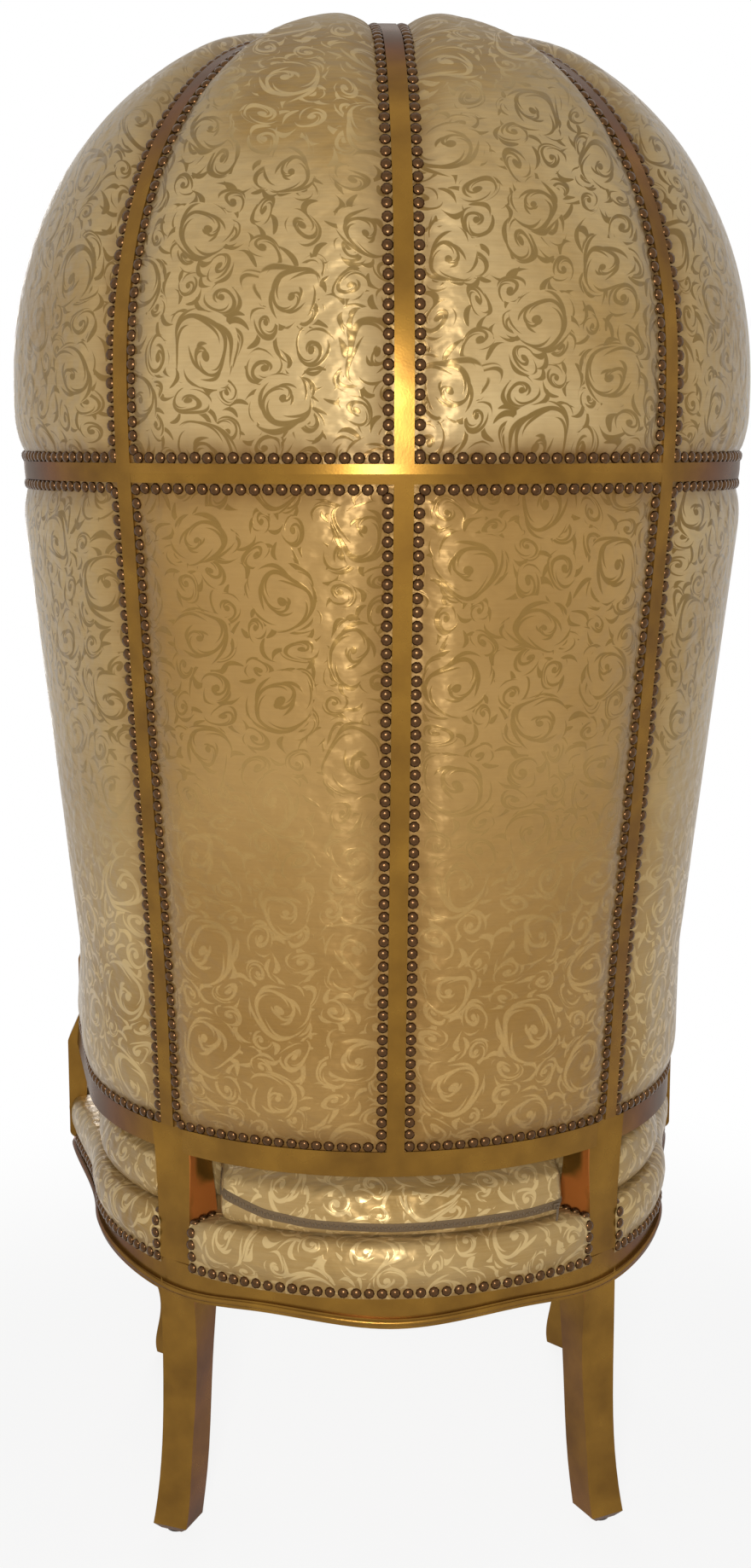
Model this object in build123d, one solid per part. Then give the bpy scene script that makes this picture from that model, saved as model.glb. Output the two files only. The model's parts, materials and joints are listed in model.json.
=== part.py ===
from build123d import *
import math
import os

# Hooded hall chair: a round seat on four legs carries a padded shell of curved
# panels, held between two hoops, two back posts and the ribs of a domed hood.
# Millimetres, +Z up, the front of the chair faces -Y, +X is the chair's left
# seen from behind. Places along Y are counted from the middle of the hood and
# moved at the end, so that the origin lies under the middle of the chair.

# Hoops of the shell: level, outer radius, centre along Y and flare of the sides
mid_hoop_level = 1191.0
mid_hoop_radius = 395.6
mid_hoop_centre = -24.0
mid_hoop_flare = 0.0
waist_level = 650.0
waist_radius = 345.0
waist_centre = -65.0
waist_flare = 4.0
low_hoop_level = 461.0
low_hoop_radius = 349.0
low_hoop_centre = -101.0
low_hoop_flare = 9.0

# Dome of the hood, from its widest level to its crown
dome_level = 1275.0
dome_radius = 398.0
dome_rise = 380.0
dome_side_power = 2.35
dome_crown_power = 2.15
meridian_steps = 7

# Layers through the shell, counted outwards from the face of the frame
moulding_proud = 3.0
rabbet_depth = 4.0
frame_depth = 30.0
lining_depth = 32.0
pad_proud = 9.0

# Bands of the frame
member_width = 44.0
moulding_width = 19.0
mid_hoop_width = 46.0
low_hoop_bottom = 453.0
low_hoop_width = 44.0
low_moulding_width = 29.0
rim_width = 36.0
rim_moulding_width = 22.0

# Posts and side ribs: place on the two hoops and the turn of their sides
post_turn = 35.0
post_low_x = 242.7
post_high_x = 268.6

# Front edge of the shell in side view: hood, wing, arm and arm front
rim_top_y = -238.0
rim_top_level = 1760.0
wing_y = -150.0
wing_level = 900.0
arm_back_y = -165.0
arm_back_level = 640.0
arm_front_y = -262.0
arm_front_level = 625.0
wing_round = 600.0
arm_back_round = 70.0
arm_front_round = 45.0

# Crown boss where the ribs meet
boss_radius = 56.0
boss_proud = 12.0
boss_button_radius = 34.0
boss_button_height = 9.0

# Seat rail
rail_radius = 340.0
rail_centre = -87.0
rail_flare = 5.0
rail_end_flare = 10.0
rail_half_width = 389.0
rail_front_y = -375.0
rail_corner_round = 45.0
front_bow_radius = 1750.0
side_steps = 4
rail_bottom = 285.0
rail_shoulder = 325.0
rail_top = 372.0
rail_depth = 32.0
rail_tongue = 10.0
bead_height = 11.0
bead_proud = 3.5
wave_x = (0.0, 150.0, 235.0, 345.0, 420.0)
wave_rise = (0.0, 8.5, 1.0, 15.0, 17.0)

# Upholstery of the seat
band_top = 381.0
band_proud = 8.0
band_round = 7.0
deck_depth = 26.0
web_width = 52.0
web_thickness = 2.5
web_level = 312.0
web_pitch = 92.0
web_rows = 3

# Loose seat cushion
fit_gap = 0.3
cushion_radius = 346.0
cushion_flare = 5.5
cushion_end_flare = 4.0
cushion_half_width = 367.0
cushion_front_y = -377.0
cushion_corner_round = 60.0
cushion_crown = 488.0
cushion_crown_radius = 1085.0
cushion_crown_y = -95.0
cushion_notch_x = 240.5
cushion_notch_y = 152.0
cushion_notch_gap = 5.0
cushion_rise = (0.0, 7.0, 20.0, 36.0, 58.0, 112.0)
cushion_inset = (12.0, 4.0, 0.0, 3.0, 13.0, 46.0)

# Legs
leg_side = 45.0
leg_levels = (3.0, 55.0, 145.0, 245.0, 290.0, 405.0, 482.0)
leg_x = (242.0, 234.5, 228.4, 225.0, 223.6, 226.1, 230.7)
leg_y = (143.6, 140.6, 138.6, 139.4, 139.0, 133.6, 133.1)
leg_sides = (41.5, 40.0, 40.0, 43.5, 45.0, 45.0, 45.0)
leg_turns = (26.0, 26.0, 26.0, 27.5, 35.0, 35.0, 35.0)
foot_dub = 8.0
glide_height = 3.0
glide_radius = 11.0
front_leg_turn = 40.0
front_leg_levels = (3.0, 22.0, 60.0, 130.0, 215.0, 286.0)
front_leg_x = (266.0, 266.0, 265.0, 276.0, 305.0, 326.0)
front_leg_y = (-310.0, -310.0, -304.0, -302.0, -306.0, -310.0)
front_leg_side = (33.0, 35.0, 27.0, 32.0, 46.0, 52.0)
front_block_side = 48.0
brace_x = (356.0, 356.0, 275.0, 245.0)
brace_y = (-215.0, -245.0, -345.0, -345.0)
brace_height = 34.0

# Arm supports, their scrolls and the arm pads
support_depth = 28.0
stump_inner_x = 371.0
stump_outer_x = 394.0
stump_high = 456.0
facing_outer_x = 378.0
facing_inner_x = 313.0
facing_low = 492.0
facing_high = 566.0
facing_top_x = 352.0
facing_top = 614.0
scroll_radius = 41.0
scroll_x = 326.0
scroll_level = 606.0
scroll_eye_radius = 15.0
scroll_eye_height = 6.0
support_round = 9.0
arm_pad_inner_x = 299.0
arm_pad_outer_x = 353.0
arm_pad_back_y = -178.0
arm_pad_bottom = 600.0
arm_pad_top = 664.0
arm_pad_round = 9.0

# Carved crest on the front of the hood
crest_x = (0.0, 24.0, 42.0, 76.0, 92.0, 70.0, 40.0, 22.0)
crest_level = (1662.0, 1654.0, 1640.0, 1632.0, 1616.0, 1602.0, 1600.0, 1588.0)
crest_foot = 1580.0
crest_front_y = -246.0

# Working sizes
overrun = 60.0
reach = 900.0

post_turn_rad = math.radians(post_turn)
across = Vector(math.cos(post_turn_rad), -math.sin(post_turn_rad), 0)
outwards = Vector(math.sin(post_turn_rad), math.cos(post_turn_rad), 0)

levels = (
    (low_hoop_level, low_hoop_radius, low_hoop_centre, low_hoop_flare),
    (waist_level, waist_radius, waist_centre, waist_flare),
    (mid_hoop_level, mid_hoop_radius, mid_hoop_centre, mid_hoop_flare),
)


def shell_at(level):
    """Radius, centre and flare of the shell's outer face at a level."""
    low, high = (levels[0], levels[1]) if level < waist_level else (levels[1], levels[2])
    share = (level - low[0]) / (high[0] - low[0])
    return [a + share * (b - a) for a, b in zip(low[1:], high[1:])]


def circle_y(x, radius, centre):
    """Y of the back of a plan circle at a distance x from the middle."""
    return centre + math.sqrt(radius**2 - x**2)


post_low = Vector(post_low_x, circle_y(post_low_x, low_hoop_radius, low_hoop_centre), low_hoop_level)
post_high = Vector(post_high_x, circle_y(post_high_x, mid_hoop_radius, mid_hoop_centre), mid_hoop_level)
boss_y = post_high.Y - post_high_x / math.tan(post_turn_rad)
dome_crown = dome_level + dome_rise
depth_middle = (mid_hoop_centre + dome_radius + pad_proud + rail_front_y - band_proud) / 2


# Shell surfaces


def plan_face(level, outset):
    """Plan of the shell at a level: a round back with straight flared sides."""
    radius, centre, flare = shell_at(level)
    radius += outset
    turn = math.radians(flare)
    x, y = radius * math.cos(turn), centre + radius * math.sin(turn)
    front_y = arm_front_y - overrun
    front_x = x + (y - front_y) * math.tan(turn)
    back = ThreePointArc((x, y), (0, centre + radius), (-x, y))
    sides = Polyline((-x, y), (-front_x, front_y), (front_x, front_y), (x, y))
    return Plane.XY.offset(level) * make_face(back + sides)


def lower_body(outset):
    """Everything inside the shell below the mid hoop's middle."""
    marks = (low_hoop_bottom - overrun, waist_level, mid_hoop_level)
    return loft([plan_face(level, outset) for level in marks], ruled=True)


def dome_profile(outset):
    """Upright half section of the dome, from the mid hoop to the crown."""
    radius, rise = dome_radius + outset, dome_rise + outset
    points = []
    for step in range(meridian_steps + 1):
        turn = step * math.pi / 2 / meridian_steps
        side = max(math.cos(turn), 0) ** (2 / dome_side_power)
        height = math.sin(turn) ** (2 / dome_crown_power)
        points.append((radius * side, dome_level + rise * height))
    points[-1] = (0, dome_level + rise)
    foot = (mid_hoop_radius + outset, mid_hoop_level)
    curve = Spline(points, tangents=((0, 1), (-1, 0)))
    low = Spline(foot, points[0], tangents=((radius - foot[0], dome_level - mid_hoop_level), (0, 1)))
    base = Polyline((0, dome_level + rise), (0, mid_hoop_level), foot)
    return Plane((0, mid_hoop_centre, 0), x_dir=(1, 0, 0), z_dir=(0, -1, 0)) * make_face(curve + low + base)


def dome_body(outset):
    """The hood: half a dome behind its middle and an arched vault before it."""
    half = dome_profile(outset)
    axis = Axis((0, mid_hoop_centre, 0), (0, 0, 1))
    back = revolve(half, axis=axis, revolution_arc=180)
    arch = half + mirror(half, Plane.YZ)
    vault = extrude(arch, amount=mid_hoop_centre - rim_top_y + overrun)
    return back + vault


def shell_body(outset):
    """The whole shell filled solid, grown by a distance."""
    return lower_body(outset) + dome_body(outset)


def front_keep(inset):
    """All that lies behind the shell's front edge, less a margin."""
    edge = FilletPolyline(
        (rim_top_y, rim_top_level),
        (wing_y, wing_level),
        (arm_back_y, arm_back_level),
        (arm_front_y, arm_front_level),
        (arm_front_y, low_hoop_bottom - 2 * overrun),
        radius=(wing_round, arm_back_round, arm_front_round),
    )
    back = Polyline(edge @ 1, (reach, low_hoop_bottom - 2 * overrun), (reach, rim_top_level), edge @ 0)
    face = make_face(edge + back)
    if inset:
        face = offset(face, amount=-inset, kind=Kind.INTERSECTION)
    return extrude(Plane.YZ * face, amount=reach, both=True)


def post_slab(low_u, high_u, low_z, high_z, lean=True):
    """A slab beside or along the left post, between two distances across it."""
    rise = high_z - low_z
    if lean:
        slope = (post_high - post_low) * (1 / (mid_hoop_level - low_hoop_level))
        start = post_low + slope * (low_z - low_hoop_level)
        way = slope * rise
    else:
        start = Vector(post_high.X, post_high.Y, low_z)
        way = Vector(0, 0, rise)
    corners = [
        start + across * low_u - outwards * reach,
        start + across * high_u - outwards * reach,
        start + across * high_u + outwards * reach,
        start + across * low_u + outwards * reach,
    ]
    face = make_face(Polyline(*corners, close=True))
    return extrude(face, amount=way.length, dir=way.normalized())


def block(x, y, z):
    """A box given by its two limits along each axis."""
    size = [high - low for low, high in (x, y, z)]
    return Pos(*[(low + high) / 2 for low, high in (x, y, z)]) * Box(*size)


def both_sides(name, piece):
    """Keeps a left piece and its mirrored right one."""
    pieces[name + "_left"] = piece
    pieces[name + "_right"] = mirror(piece, Plane.YZ)


pieces = {}

half_member = member_width / 2
half_moulding = moulding_width / 2
mid_low, mid_high = mid_hoop_level - mid_hoop_width / 2, mid_hoop_level + mid_hoop_width / 2
mid_mould_low, mid_mould_high = mid_hoop_level - half_moulding, mid_hoop_level + half_moulding
low_high = low_hoop_bottom + low_hoop_width
low_mould_high = low_hoop_bottom + low_moulding_width
top = dome_crown + overrun

face_body = shell_body(moulding_proud)
rabbet_body = shell_body(-rabbet_depth)
inner_body = shell_body(-frame_depth)
room_body = shell_body(-frame_depth - lining_depth)
pad_body = shell_body(pad_proud)
whole = front_keep(0)
base_keep = front_keep(rim_width)
moulding_keep = front_keep(rim_moulding_width)

base_layer = (rabbet_body - inner_body) & whole
moulding_layer = (face_body - rabbet_body) & whole
pad_layer = (pad_body - rabbet_body) & moulding_keep
core_layer = base_layer & base_keep
lining_layer = (inner_body - room_body) & whole

boss_round = Pos(0, boss_y, dome_crown) * Cylinder(boss_radius, 2 * overrun)


def frame_piece(base_region, moulding_region):
    """One member of the frame: its base and the raised moulding on it."""
    return (base_layer & base_region) + (moulding_layer & moulding_region)


def pad_piece(core_region, face_region):
    """One upholstered panel: its stuffing and the face that laps the rabbets."""
    return (core_layer & core_region) + (pad_layer & face_region)


# Regions on the left half: behind the post and before it


def back_region(gap, low_z, high_z, lean=True):
    slab = post_slab(-reach, -gap, low_z, high_z, lean)
    return slab & block((-reach, reach), (mid_hoop_centre, reach), (low_z, high_z))


def side_region(gap, low_z, high_z, lean=True):
    return post_slab(gap, reach, low_z, high_z, lean)


def middle(region):
    """A region between both posts, from the one on the left of the left post."""
    return region & mirror(region, Plane.YZ)


# Hoops

mid_base = middle(back_region(half_member, mid_low, mid_high, False))
mid_face = middle(back_region(half_moulding, mid_mould_low, mid_mould_high, False))
pieces["mid_hoop_rear"] = frame_piece(mid_base, mid_face)
both_sides(
    "mid_hoop",
    frame_piece(
        side_region(half_member, mid_low, mid_high, False) & base_keep,
        side_region(half_moulding, mid_mould_low, mid_mould_high, False) & moulding_keep,
    ),
)
low_base = middle(back_region(half_member, low_hoop_bottom, low_high))
low_face = middle(back_region(half_member, low_hoop_bottom, low_mould_high))
pieces["lower_hoop_rear"] = frame_piece(low_base, low_face)
both_sides(
    "lower_hoop",
    frame_piece(
        side_region(half_member, low_hoop_bottom, low_high) & base_keep,
        side_region(half_member, low_hoop_bottom, low_mould_high) & moulding_keep,
    ),
)

# Centre ribs and crown boss

boss_hole = boss_round + block((-half_member, half_member), (-reach, boss_y), (mid_high, top))
pieces["centre_rib_lower"] = frame_piece(
    block((-half_member, half_member), (0, reach), (low_high, mid_low)),
    block((-half_moulding, half_moulding), (0, reach), (low_mould_high, mid_mould_low)),
)
pieces["centre_rib_upper"] = frame_piece(
    block((-half_member, half_member), (boss_y, reach), (mid_high, top)) - boss_hole,
    block((-half_moulding, half_moulding), (boss_y, reach), (mid_mould_high, top)) - boss_hole,
)
boss = boss_round & (shell_body(boss_proud - rabbet_depth) - inner_body) & base_keep
button = Pos(0, boss_y, dome_crown + boss_proud - rabbet_depth) * Cylinder(
    boss_button_radius, 2 * boss_button_height
)
short_rib = frame_piece(
    block((-half_member, half_member), (-reach, boss_y), (mid_high, top)) & base_keep,
    block((-half_moulding, half_moulding), (-reach, boss_y), (mid_high, top)) & moulding_keep,
)
pieces["crown_boss"] = boss + button + short_rib

# Side ribs of the dome

behind_boss = block((0, reach), (boss_y, reach), (mid_hoop_level, top))
beside_rib = block((half_member, reach), (boss_y, reach), (mid_hoop_level, top)) - boss_hole
both_sides(
    "dome_rib",
    frame_piece(
        post_slab(-half_member, half_member, mid_hoop_level, top, False) & beside_rib,
        post_slab(-half_moulding, half_moulding, mid_hoop_level, top, False) & beside_rib,
    ),
)

# Rim of the hood, from the crown down over the wings to the arm fronts

rim = ((base_layer - base_keep) + (moulding_layer - moulding_keep)) & block(
    (-reach, reach), (-reach, mid_hoop_centre), (low_hoop_bottom, top)
)
pieces["hood_rim"] = rim & block((-reach, reach), (-reach, reach), (mid_hoop_level, top))
both_sides("wing_rim", rim & block((0, reach), (-reach, reach), (low_hoop_bottom, mid_hoop_level)))

# Upholstered panels of the shell

right_of_middle = block((half_member, reach), (-reach, reach), (low_hoop_bottom, top))
right_of_moulding = block((half_moulding, reach), (-reach, reach), (low_hoop_bottom, top))
both_sides(
    "back_panel",
    pad_piece(
        back_region(half_member, low_high, mid_low) & right_of_middle,
        back_region(half_moulding, low_mould_high, mid_mould_low) & right_of_moulding,
    ),
)
both_sides(
    "side_panel",
    pad_piece(
        side_region(half_member, low_high, mid_low),
        side_region(half_moulding, low_mould_high, mid_mould_low),
    ),
)
both_sides(
    "dome_panel",
    pad_piece(
        (post_slab(-reach, -half_member, mid_high, top, False) & right_of_middle & behind_boss) - boss_hole,
        (post_slab(-reach, -half_moulding, mid_mould_high, top, False) & right_of_moulding & behind_boss)
        - boss_hole,
    ),
)
both_sides(
    "hood_side_panel",
    pad_piece(
        (post_slab(half_member, reach, mid_high, top, False) & right_of_middle) - boss_hole,
        (post_slab(half_moulding, reach, mid_mould_high, top, False) & right_of_moulding) - boss_hole,
    ),
)

# Linings inside the shell

pieces["back_lining"] = lining_layer & middle(back_region(0, low_hoop_bottom, mid_hoop_level))
both_sides("side_lining", lining_layer & side_region(0, low_hoop_bottom, mid_hoop_level))
hood_rear = block((-reach, reach), (boss_y, reach), (mid_hoop_level, top))
hood_centre = middle(post_slab(-reach, 0, mid_hoop_level, top, False) & hood_rear)
pieces["hood_lining_rear"] = lining_layer & hood_centre
both_sides(
    "hood_lining",
    lining_layer
    & post_slab(0, reach, mid_hoop_level, top, False)
    & block((0, reach), (-reach, reach), (mid_hoop_level, top)),
)

# Seat frame

rail_sizes = (
    rail_radius,
    rail_flare,
    rail_end_flare,
    rail_half_width,
    rail_front_y,
    rail_corner_round,
)
cushion_sizes = (
    cushion_radius,
    cushion_flare,
    cushion_end_flare,
    cushion_half_width,
    cushion_front_y,
    cushion_corner_round,
)


def side_points(start, way, finish, end_way, outset):
    """Points of a smooth side between two places, each moved outwards."""
    length = math.dist(start, finish)
    points = []
    for step in range(side_steps + 1):
        s = step / side_steps
        h = (2 * s**3 - 3 * s**2 + 1, s**3 - 2 * s**2 + s, 3 * s**2 - 2 * s**3, s**3 - s**2)
        g = (6 * s**2 - 6 * s, 3 * s**2 - 4 * s + 1, 6 * s - 6 * s**2, 3 * s**2 - 2 * s)
        ends = [(start[i], way[i] * length, finish[i], end_way[i] * length) for i in (0, 1)]
        x, y = (sum(a * b for a, b in zip(h, end)) for end in ends)
        dx, dy = (sum(a * b for a, b in zip(g, end)) for end in ends)
        run = math.hypot(dx, dy)
        points.append((x - dy / run * outset, y + dx / run * outset))
    return points


def seat_plan(sizes, outset):
    """Plan of the seat: a round back, sides that flare out and a bowed front."""
    radius, flare, end_flare, half_width, front_y, corner_round = sizes
    turn, end_turn = math.radians(flare), math.radians(end_flare)
    way, end_way = (math.sin(turn), -math.cos(turn)), (math.sin(end_turn), -math.cos(end_turn))
    start = (radius * math.cos(turn), rail_centre + radius * math.sin(turn))
    bow_y = front_y + front_bow_radius
    corner_x = half_width - corner_round
    corner_y = bow_y - math.sqrt((front_bow_radius - corner_round) ** 2 - corner_x**2)
    finish = (corner_x + corner_round * math.cos(end_turn), corner_y + corner_round * math.sin(end_turn))
    bow_turn = math.atan2(corner_x, bow_y - corner_y)
    mid_turn = (end_turn - math.pi / 2 + bow_turn) / 2
    far = corner_round + outset
    corner = [
        (corner_x + far * math.cos(a), corner_y + far * math.sin(a))
        for a in (end_turn, mid_turn, bow_turn - math.pi / 2)
    ]
    side = side_points(start, way, finish, end_way, outset)
    side[-1] = corner[0]
    outline = ThreePointArc(side[0], (0, rail_centre + radius + outset), (-side[0][0], side[0][1]))
    outline += ThreePointArc(
        (-corner[2][0], corner[2][1]), (0, front_y - outset), (corner[2][0], corner[2][1])
    )
    for hand in (1, -1):
        outline += Spline(
            [(hand * x, y) for x, y in side],
            tangents=((hand * way[0], way[1]), (hand * end_way[0], end_way[1])),
        )
        outline += ThreePointArc(*[(hand * x, y) for x, y in corner])
    return make_face(outline)


def seat_slab(outset, low, high):
    """The plan of the seat rail, grown by a distance, between two levels."""
    return Pos(0, 0, low) * extrude(seat_plan(rail_sizes, outset), amount=high - low)


def below_wave(lift):
    """Everything below the rail's waved lower edge, lifted by a height."""
    points = [(x, rail_bottom + rise + lift) for x, rise in zip(wave_x, wave_rise)]
    points = [(-x, z) for x, z in reversed(points[1:])] + points
    curve = Spline(points)
    rest = Polyline(points[-1], (wave_x[-1], 0), (-wave_x[-1], 0), points[0])
    return extrude(Plane.XZ * make_face(curve + rest), amount=reach, both=True)


def leg_body(places, sides, turns):
    """A leg lofted through squares that are turned about the upright."""
    faces = [
        Pos(*place) * Rot(0, 0, -turn) * Rectangle(side, side)
        for place, side, turn in zip(places, sides, turns)
    ]
    return loft(faces)


def seat_rear(low, high):
    behind = block((-reach, reach), (rail_centre, reach), (low, high))
    return middle(post_slab(-reach, 0, low, high) & behind)


def seat_side(low, high):
    return post_slab(0, reach, low, high) & block((0, reach), (front_leg_y[-1], reach), (low, high))


def seat_front(low, high):
    return block((-reach, reach), (-reach, front_leg_y[-1]), (low, high))


def seat_pieces(name, ring, low, high):
    """Splits a ring round the seat into its rear, side and front pieces."""
    pieces[name + "_rear"] = ring & seat_rear(low, high)
    both_sides(name, ring & seat_side(low, high))
    pieces[name + "_front"] = ring & seat_front(low, high)


leg_places = list(zip(leg_x, leg_y, leg_levels))
stile = leg_body(leg_places, leg_sides, leg_turns)
stile = chamfer(stile.faces().sort_by(Axis.Z)[0].edges(), foot_dub)
wave = below_wave(0)
hollow = seat_slab(-rail_depth, 0, top)
rail_ring = (
    seat_slab(0, rail_bottom - overrun, rail_shoulder)
    + seat_slab(-rabbet_depth, rail_shoulder, rail_top)
    - hollow
    - wave
)
bead = (seat_slab(bead_proud, rail_bottom - overrun, rail_shoulder) - seat_slab(0, 0, top)) & (
    below_wave(bead_height) - wave
)
rail_ring += bead
tongue = seat_slab(bead_proud, 0, rail_shoulder) - seat_slab(-rail_tongue, 0, rail_top) - wave
stile -= tongue
shell_post = frame_piece(
    post_slab(-half_member, half_member, low_mould_high, mid_hoop_level),
    post_slab(-half_moulding, half_moulding, low_mould_high, mid_hoop_level),
)
both_sides("rear_stile", stile + shell_post)

front_places = list(zip(front_leg_x, front_leg_y, front_leg_levels))
knee_x, knee_y, knee_level = front_places[-1]
half_block = front_block_side / 2
front_block = block(
    (knee_x - half_block, knee_x + half_block),
    (knee_y - half_block, knee_y + half_block),
    (knee_level, rail_top),
)
front_leg = leg_body(front_places, front_leg_side, [front_leg_turn] * len(front_places))
both_sides("front_leg", front_leg + front_block)

leg_names = ("rear_stile_left", "rear_stile_right", "front_leg_left", "front_leg_right")
legs = [pieces[name] for name in leg_names]


def clear_of(piece, others):
    for other in others:
        piece -= other
    return piece


rail_ring = clear_of(rail_ring, legs)
seat_pieces("seat_rail", rail_ring, 0, rail_top)

for name in ("mid_hoop_rear", "lower_hoop_rear", "back_lining"):
    pieces[name] = clear_of(pieces[name], legs[:2])
for name in ("mid_hoop", "lower_hoop", "side_lining"):
    both_sides(name, clear_of(pieces[name + "_left"], legs[:1]))

brace = make_face(Polyline(*zip(brace_x, brace_y), close=True))
brace = Pos(0, 0, web_level + web_thickness * 2) * extrude(brace, amount=brace_height)
brace = clear_of(brace & hollow, legs)
both_sides("corner_brace", brace)

glides = [
    Pos(place[0], place[1], glide_height / 2) * Cylinder(glide_radius, glide_height)
    for place in (leg_places[0], front_places[0])
]
both_sides("glides", glides[0] + glides[1])

# Arm supports with their scrolls, and arm pads

facing = FilletPolyline(
    (stump_inner_x, rail_shoulder),
    (stump_outer_x, rail_shoulder),
    (stump_outer_x, stump_high),
    (facing_outer_x, facing_low),
    (facing_outer_x, facing_high),
    (facing_top_x, facing_top),
    (facing_inner_x, scroll_level),
    (facing_inner_x, stump_high),
    (stump_inner_x, stump_high),
    radius=support_round,
    close=True,
)
facing = make_face(facing) + Pos(scroll_x, scroll_level) * Circle(scroll_radius)
facing = Plane((0, arm_front_y, 0), x_dir=(1, 0, 0), z_dir=(0, -1, 0)) * facing
support = extrude(facing, amount=support_depth)
eye_at = (scroll_x, arm_front_y - support_depth, scroll_level)
eye_plane = Plane(eye_at, x_dir=(1, 0, 0), z_dir=(0, -1, 0))
support += extrude(eye_plane * Circle(scroll_eye_radius), amount=scroll_eye_height)
support = clear_of(support, [rail_ring] + legs)
both_sides("arm_support", support)

arm_pad = block(
    (arm_pad_inner_x, arm_pad_outer_x), (arm_front_y, arm_pad_back_y), (arm_pad_bottom, arm_pad_top)
)
arm_pad = fillet(arm_pad.faces().sort_by(Axis.Z)[-1].edges(), arm_pad_round) - whole
both_sides("arm_pad", arm_pad)

# Carved crest

crest_points = list(zip(crest_x, crest_level)) + [(0, crest_foot)]
crest_points += [(-x, z) for x, z in reversed(crest_points[1:-1])]
crest = make_face(Spline(crest_points, periodic=True))
crest = extrude(Plane((0, crest_front_y, 0), x_dir=(1, 0, 0), z_dir=(0, -1, 0)) * crest, amount=-overrun)
pieces["crest"] = crest - whole

# Upholstery of the seat

stumps = [pieces["arm_support_left"], pieces["arm_support_right"]]
band = seat_slab(band_proud, rail_shoulder, band_top)
band_faces = band.faces().sort_by(Axis.Z)
band = fillet(band_faces[-1].edges() + band_faces[0].edges(), band_round)
band -= seat_slab(-rabbet_depth, 0, rail_top)
band = clear_of(band - hollow, legs + stumps)
seat_pieces("seat_band", band, rail_shoulder, band_top)

deck = hollow & block((-reach, reach), (-reach, reach), (band_top - deck_depth, band_top))
pieces["seat_deck"] = clear_of(deck, legs)

webs = None
for row in range(-web_rows, web_rows + 1):
    middle_y = rail_centre + row * web_pitch
    along = block(
        (-reach, reach),
        (middle_y - web_width / 2, middle_y + web_width / 2),
        (web_level, web_level + web_thickness),
    )
    middle_x = row * web_pitch
    cross = block(
        (middle_x - web_width / 2, middle_x + web_width / 2),
        (-reach, reach),
        (web_level + web_thickness, web_level + 2 * web_thickness),
    )
    webs = along + cross if webs is None else webs + along + cross
pieces["webbing"] = clear_of(webs & hollow, legs)

# Loose seat cushion, which slides out to the front

cushion_foot = band_top + fit_gap
plans = [
    Pos(0, 0, cushion_foot + rise) * seat_plan(cushion_sizes, -inset)
    for rise, inset in zip(cushion_rise, cushion_inset)
]
crown = Pos(0, cushion_crown_y, cushion_crown - cushion_crown_radius) * Sphere(cushion_crown_radius)
cushion = loft(plans, ruled=True) & crown
half_notch = leg_side / 2 + cushion_notch_gap
notch_at = Vector(cushion_notch_x, cushion_notch_y, 0) - outwards * (leg_side / 2)
far = notch_at - across * half_notch - outwards * half_notch
near = notch_at + across * half_notch + outwards * half_notch
tip = notch_at + across * half_notch - outwards * half_notch
notch = make_face(Polyline(far, tip, near, (near.X, reach), (far.X, reach), close=True))
notch = extrude(notch, amount=top)
pieces["seat_cushion"] = cushion - notch - mirror(notch, Plane.YZ)

# Export

os.makedirs("parts", exist_ok=True)
for name, piece in pieces.items():
    piece = Pos(0, -depth_middle, 0) * piece
    solids = piece.solids()
    print(name, len(solids), round(sum(s.volume for s in solids)))
    export_step(Compound(solids) if len(solids) > 1 else solids[0], f"parts/{name}.step")
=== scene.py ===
"""Hooded hall chair: the looks of its gilt frame, damask upholstery and brass nails."""

from __future__ import annotations

import json
import logging
import math
from contextlib import contextmanager
from dataclasses import dataclass, field, replace
from enum import Enum
from typing import Callable, Iterator

import bpy
import numpy as np
from mathutils import Matrix, Vector, noise
from mathutils.bvhtree import BVHTree

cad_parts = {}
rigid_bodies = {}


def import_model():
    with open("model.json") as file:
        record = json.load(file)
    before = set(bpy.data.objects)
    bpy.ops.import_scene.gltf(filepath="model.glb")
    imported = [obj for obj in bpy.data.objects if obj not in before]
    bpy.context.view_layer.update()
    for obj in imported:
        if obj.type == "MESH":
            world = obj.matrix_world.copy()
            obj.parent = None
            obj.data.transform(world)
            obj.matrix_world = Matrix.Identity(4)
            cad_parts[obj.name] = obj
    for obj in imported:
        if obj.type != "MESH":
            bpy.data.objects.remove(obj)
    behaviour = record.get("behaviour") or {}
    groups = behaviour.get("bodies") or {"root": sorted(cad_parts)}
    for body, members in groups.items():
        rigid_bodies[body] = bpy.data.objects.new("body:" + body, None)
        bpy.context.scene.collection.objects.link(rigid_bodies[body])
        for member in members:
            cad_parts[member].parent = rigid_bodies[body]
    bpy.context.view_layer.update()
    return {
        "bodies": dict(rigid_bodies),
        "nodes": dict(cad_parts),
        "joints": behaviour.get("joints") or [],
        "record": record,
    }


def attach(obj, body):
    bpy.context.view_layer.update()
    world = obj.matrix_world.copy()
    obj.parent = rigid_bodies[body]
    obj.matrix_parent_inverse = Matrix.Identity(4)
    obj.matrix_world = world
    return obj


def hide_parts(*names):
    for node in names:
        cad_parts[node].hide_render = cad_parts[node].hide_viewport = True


LOG = logging.getLogger("hall_chair")
MM = 0.001
# The middle line of the left rear stile at two levels and half its width where the stain
# shows, in millimetres, and how far the posts and the stiles are turned.
STILE_LINE = ((224.1, 138.0, 320.0), (226.1, 133.6, 405.0))
STILE_HALF = 21.6
POST_TURN = math.radians(35.0)

Piece = bpy.types.Object
Socket = bpy.types.NodeSocket
Pair = tuple[float, float]
Triple = tuple[float, float, float]
# Points and faces; and a line on the shell, as a distance along the ring by height.
Mesh = tuple[np.ndarray, list[tuple[int, ...]]]
Side = Callable[[float], float]


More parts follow.
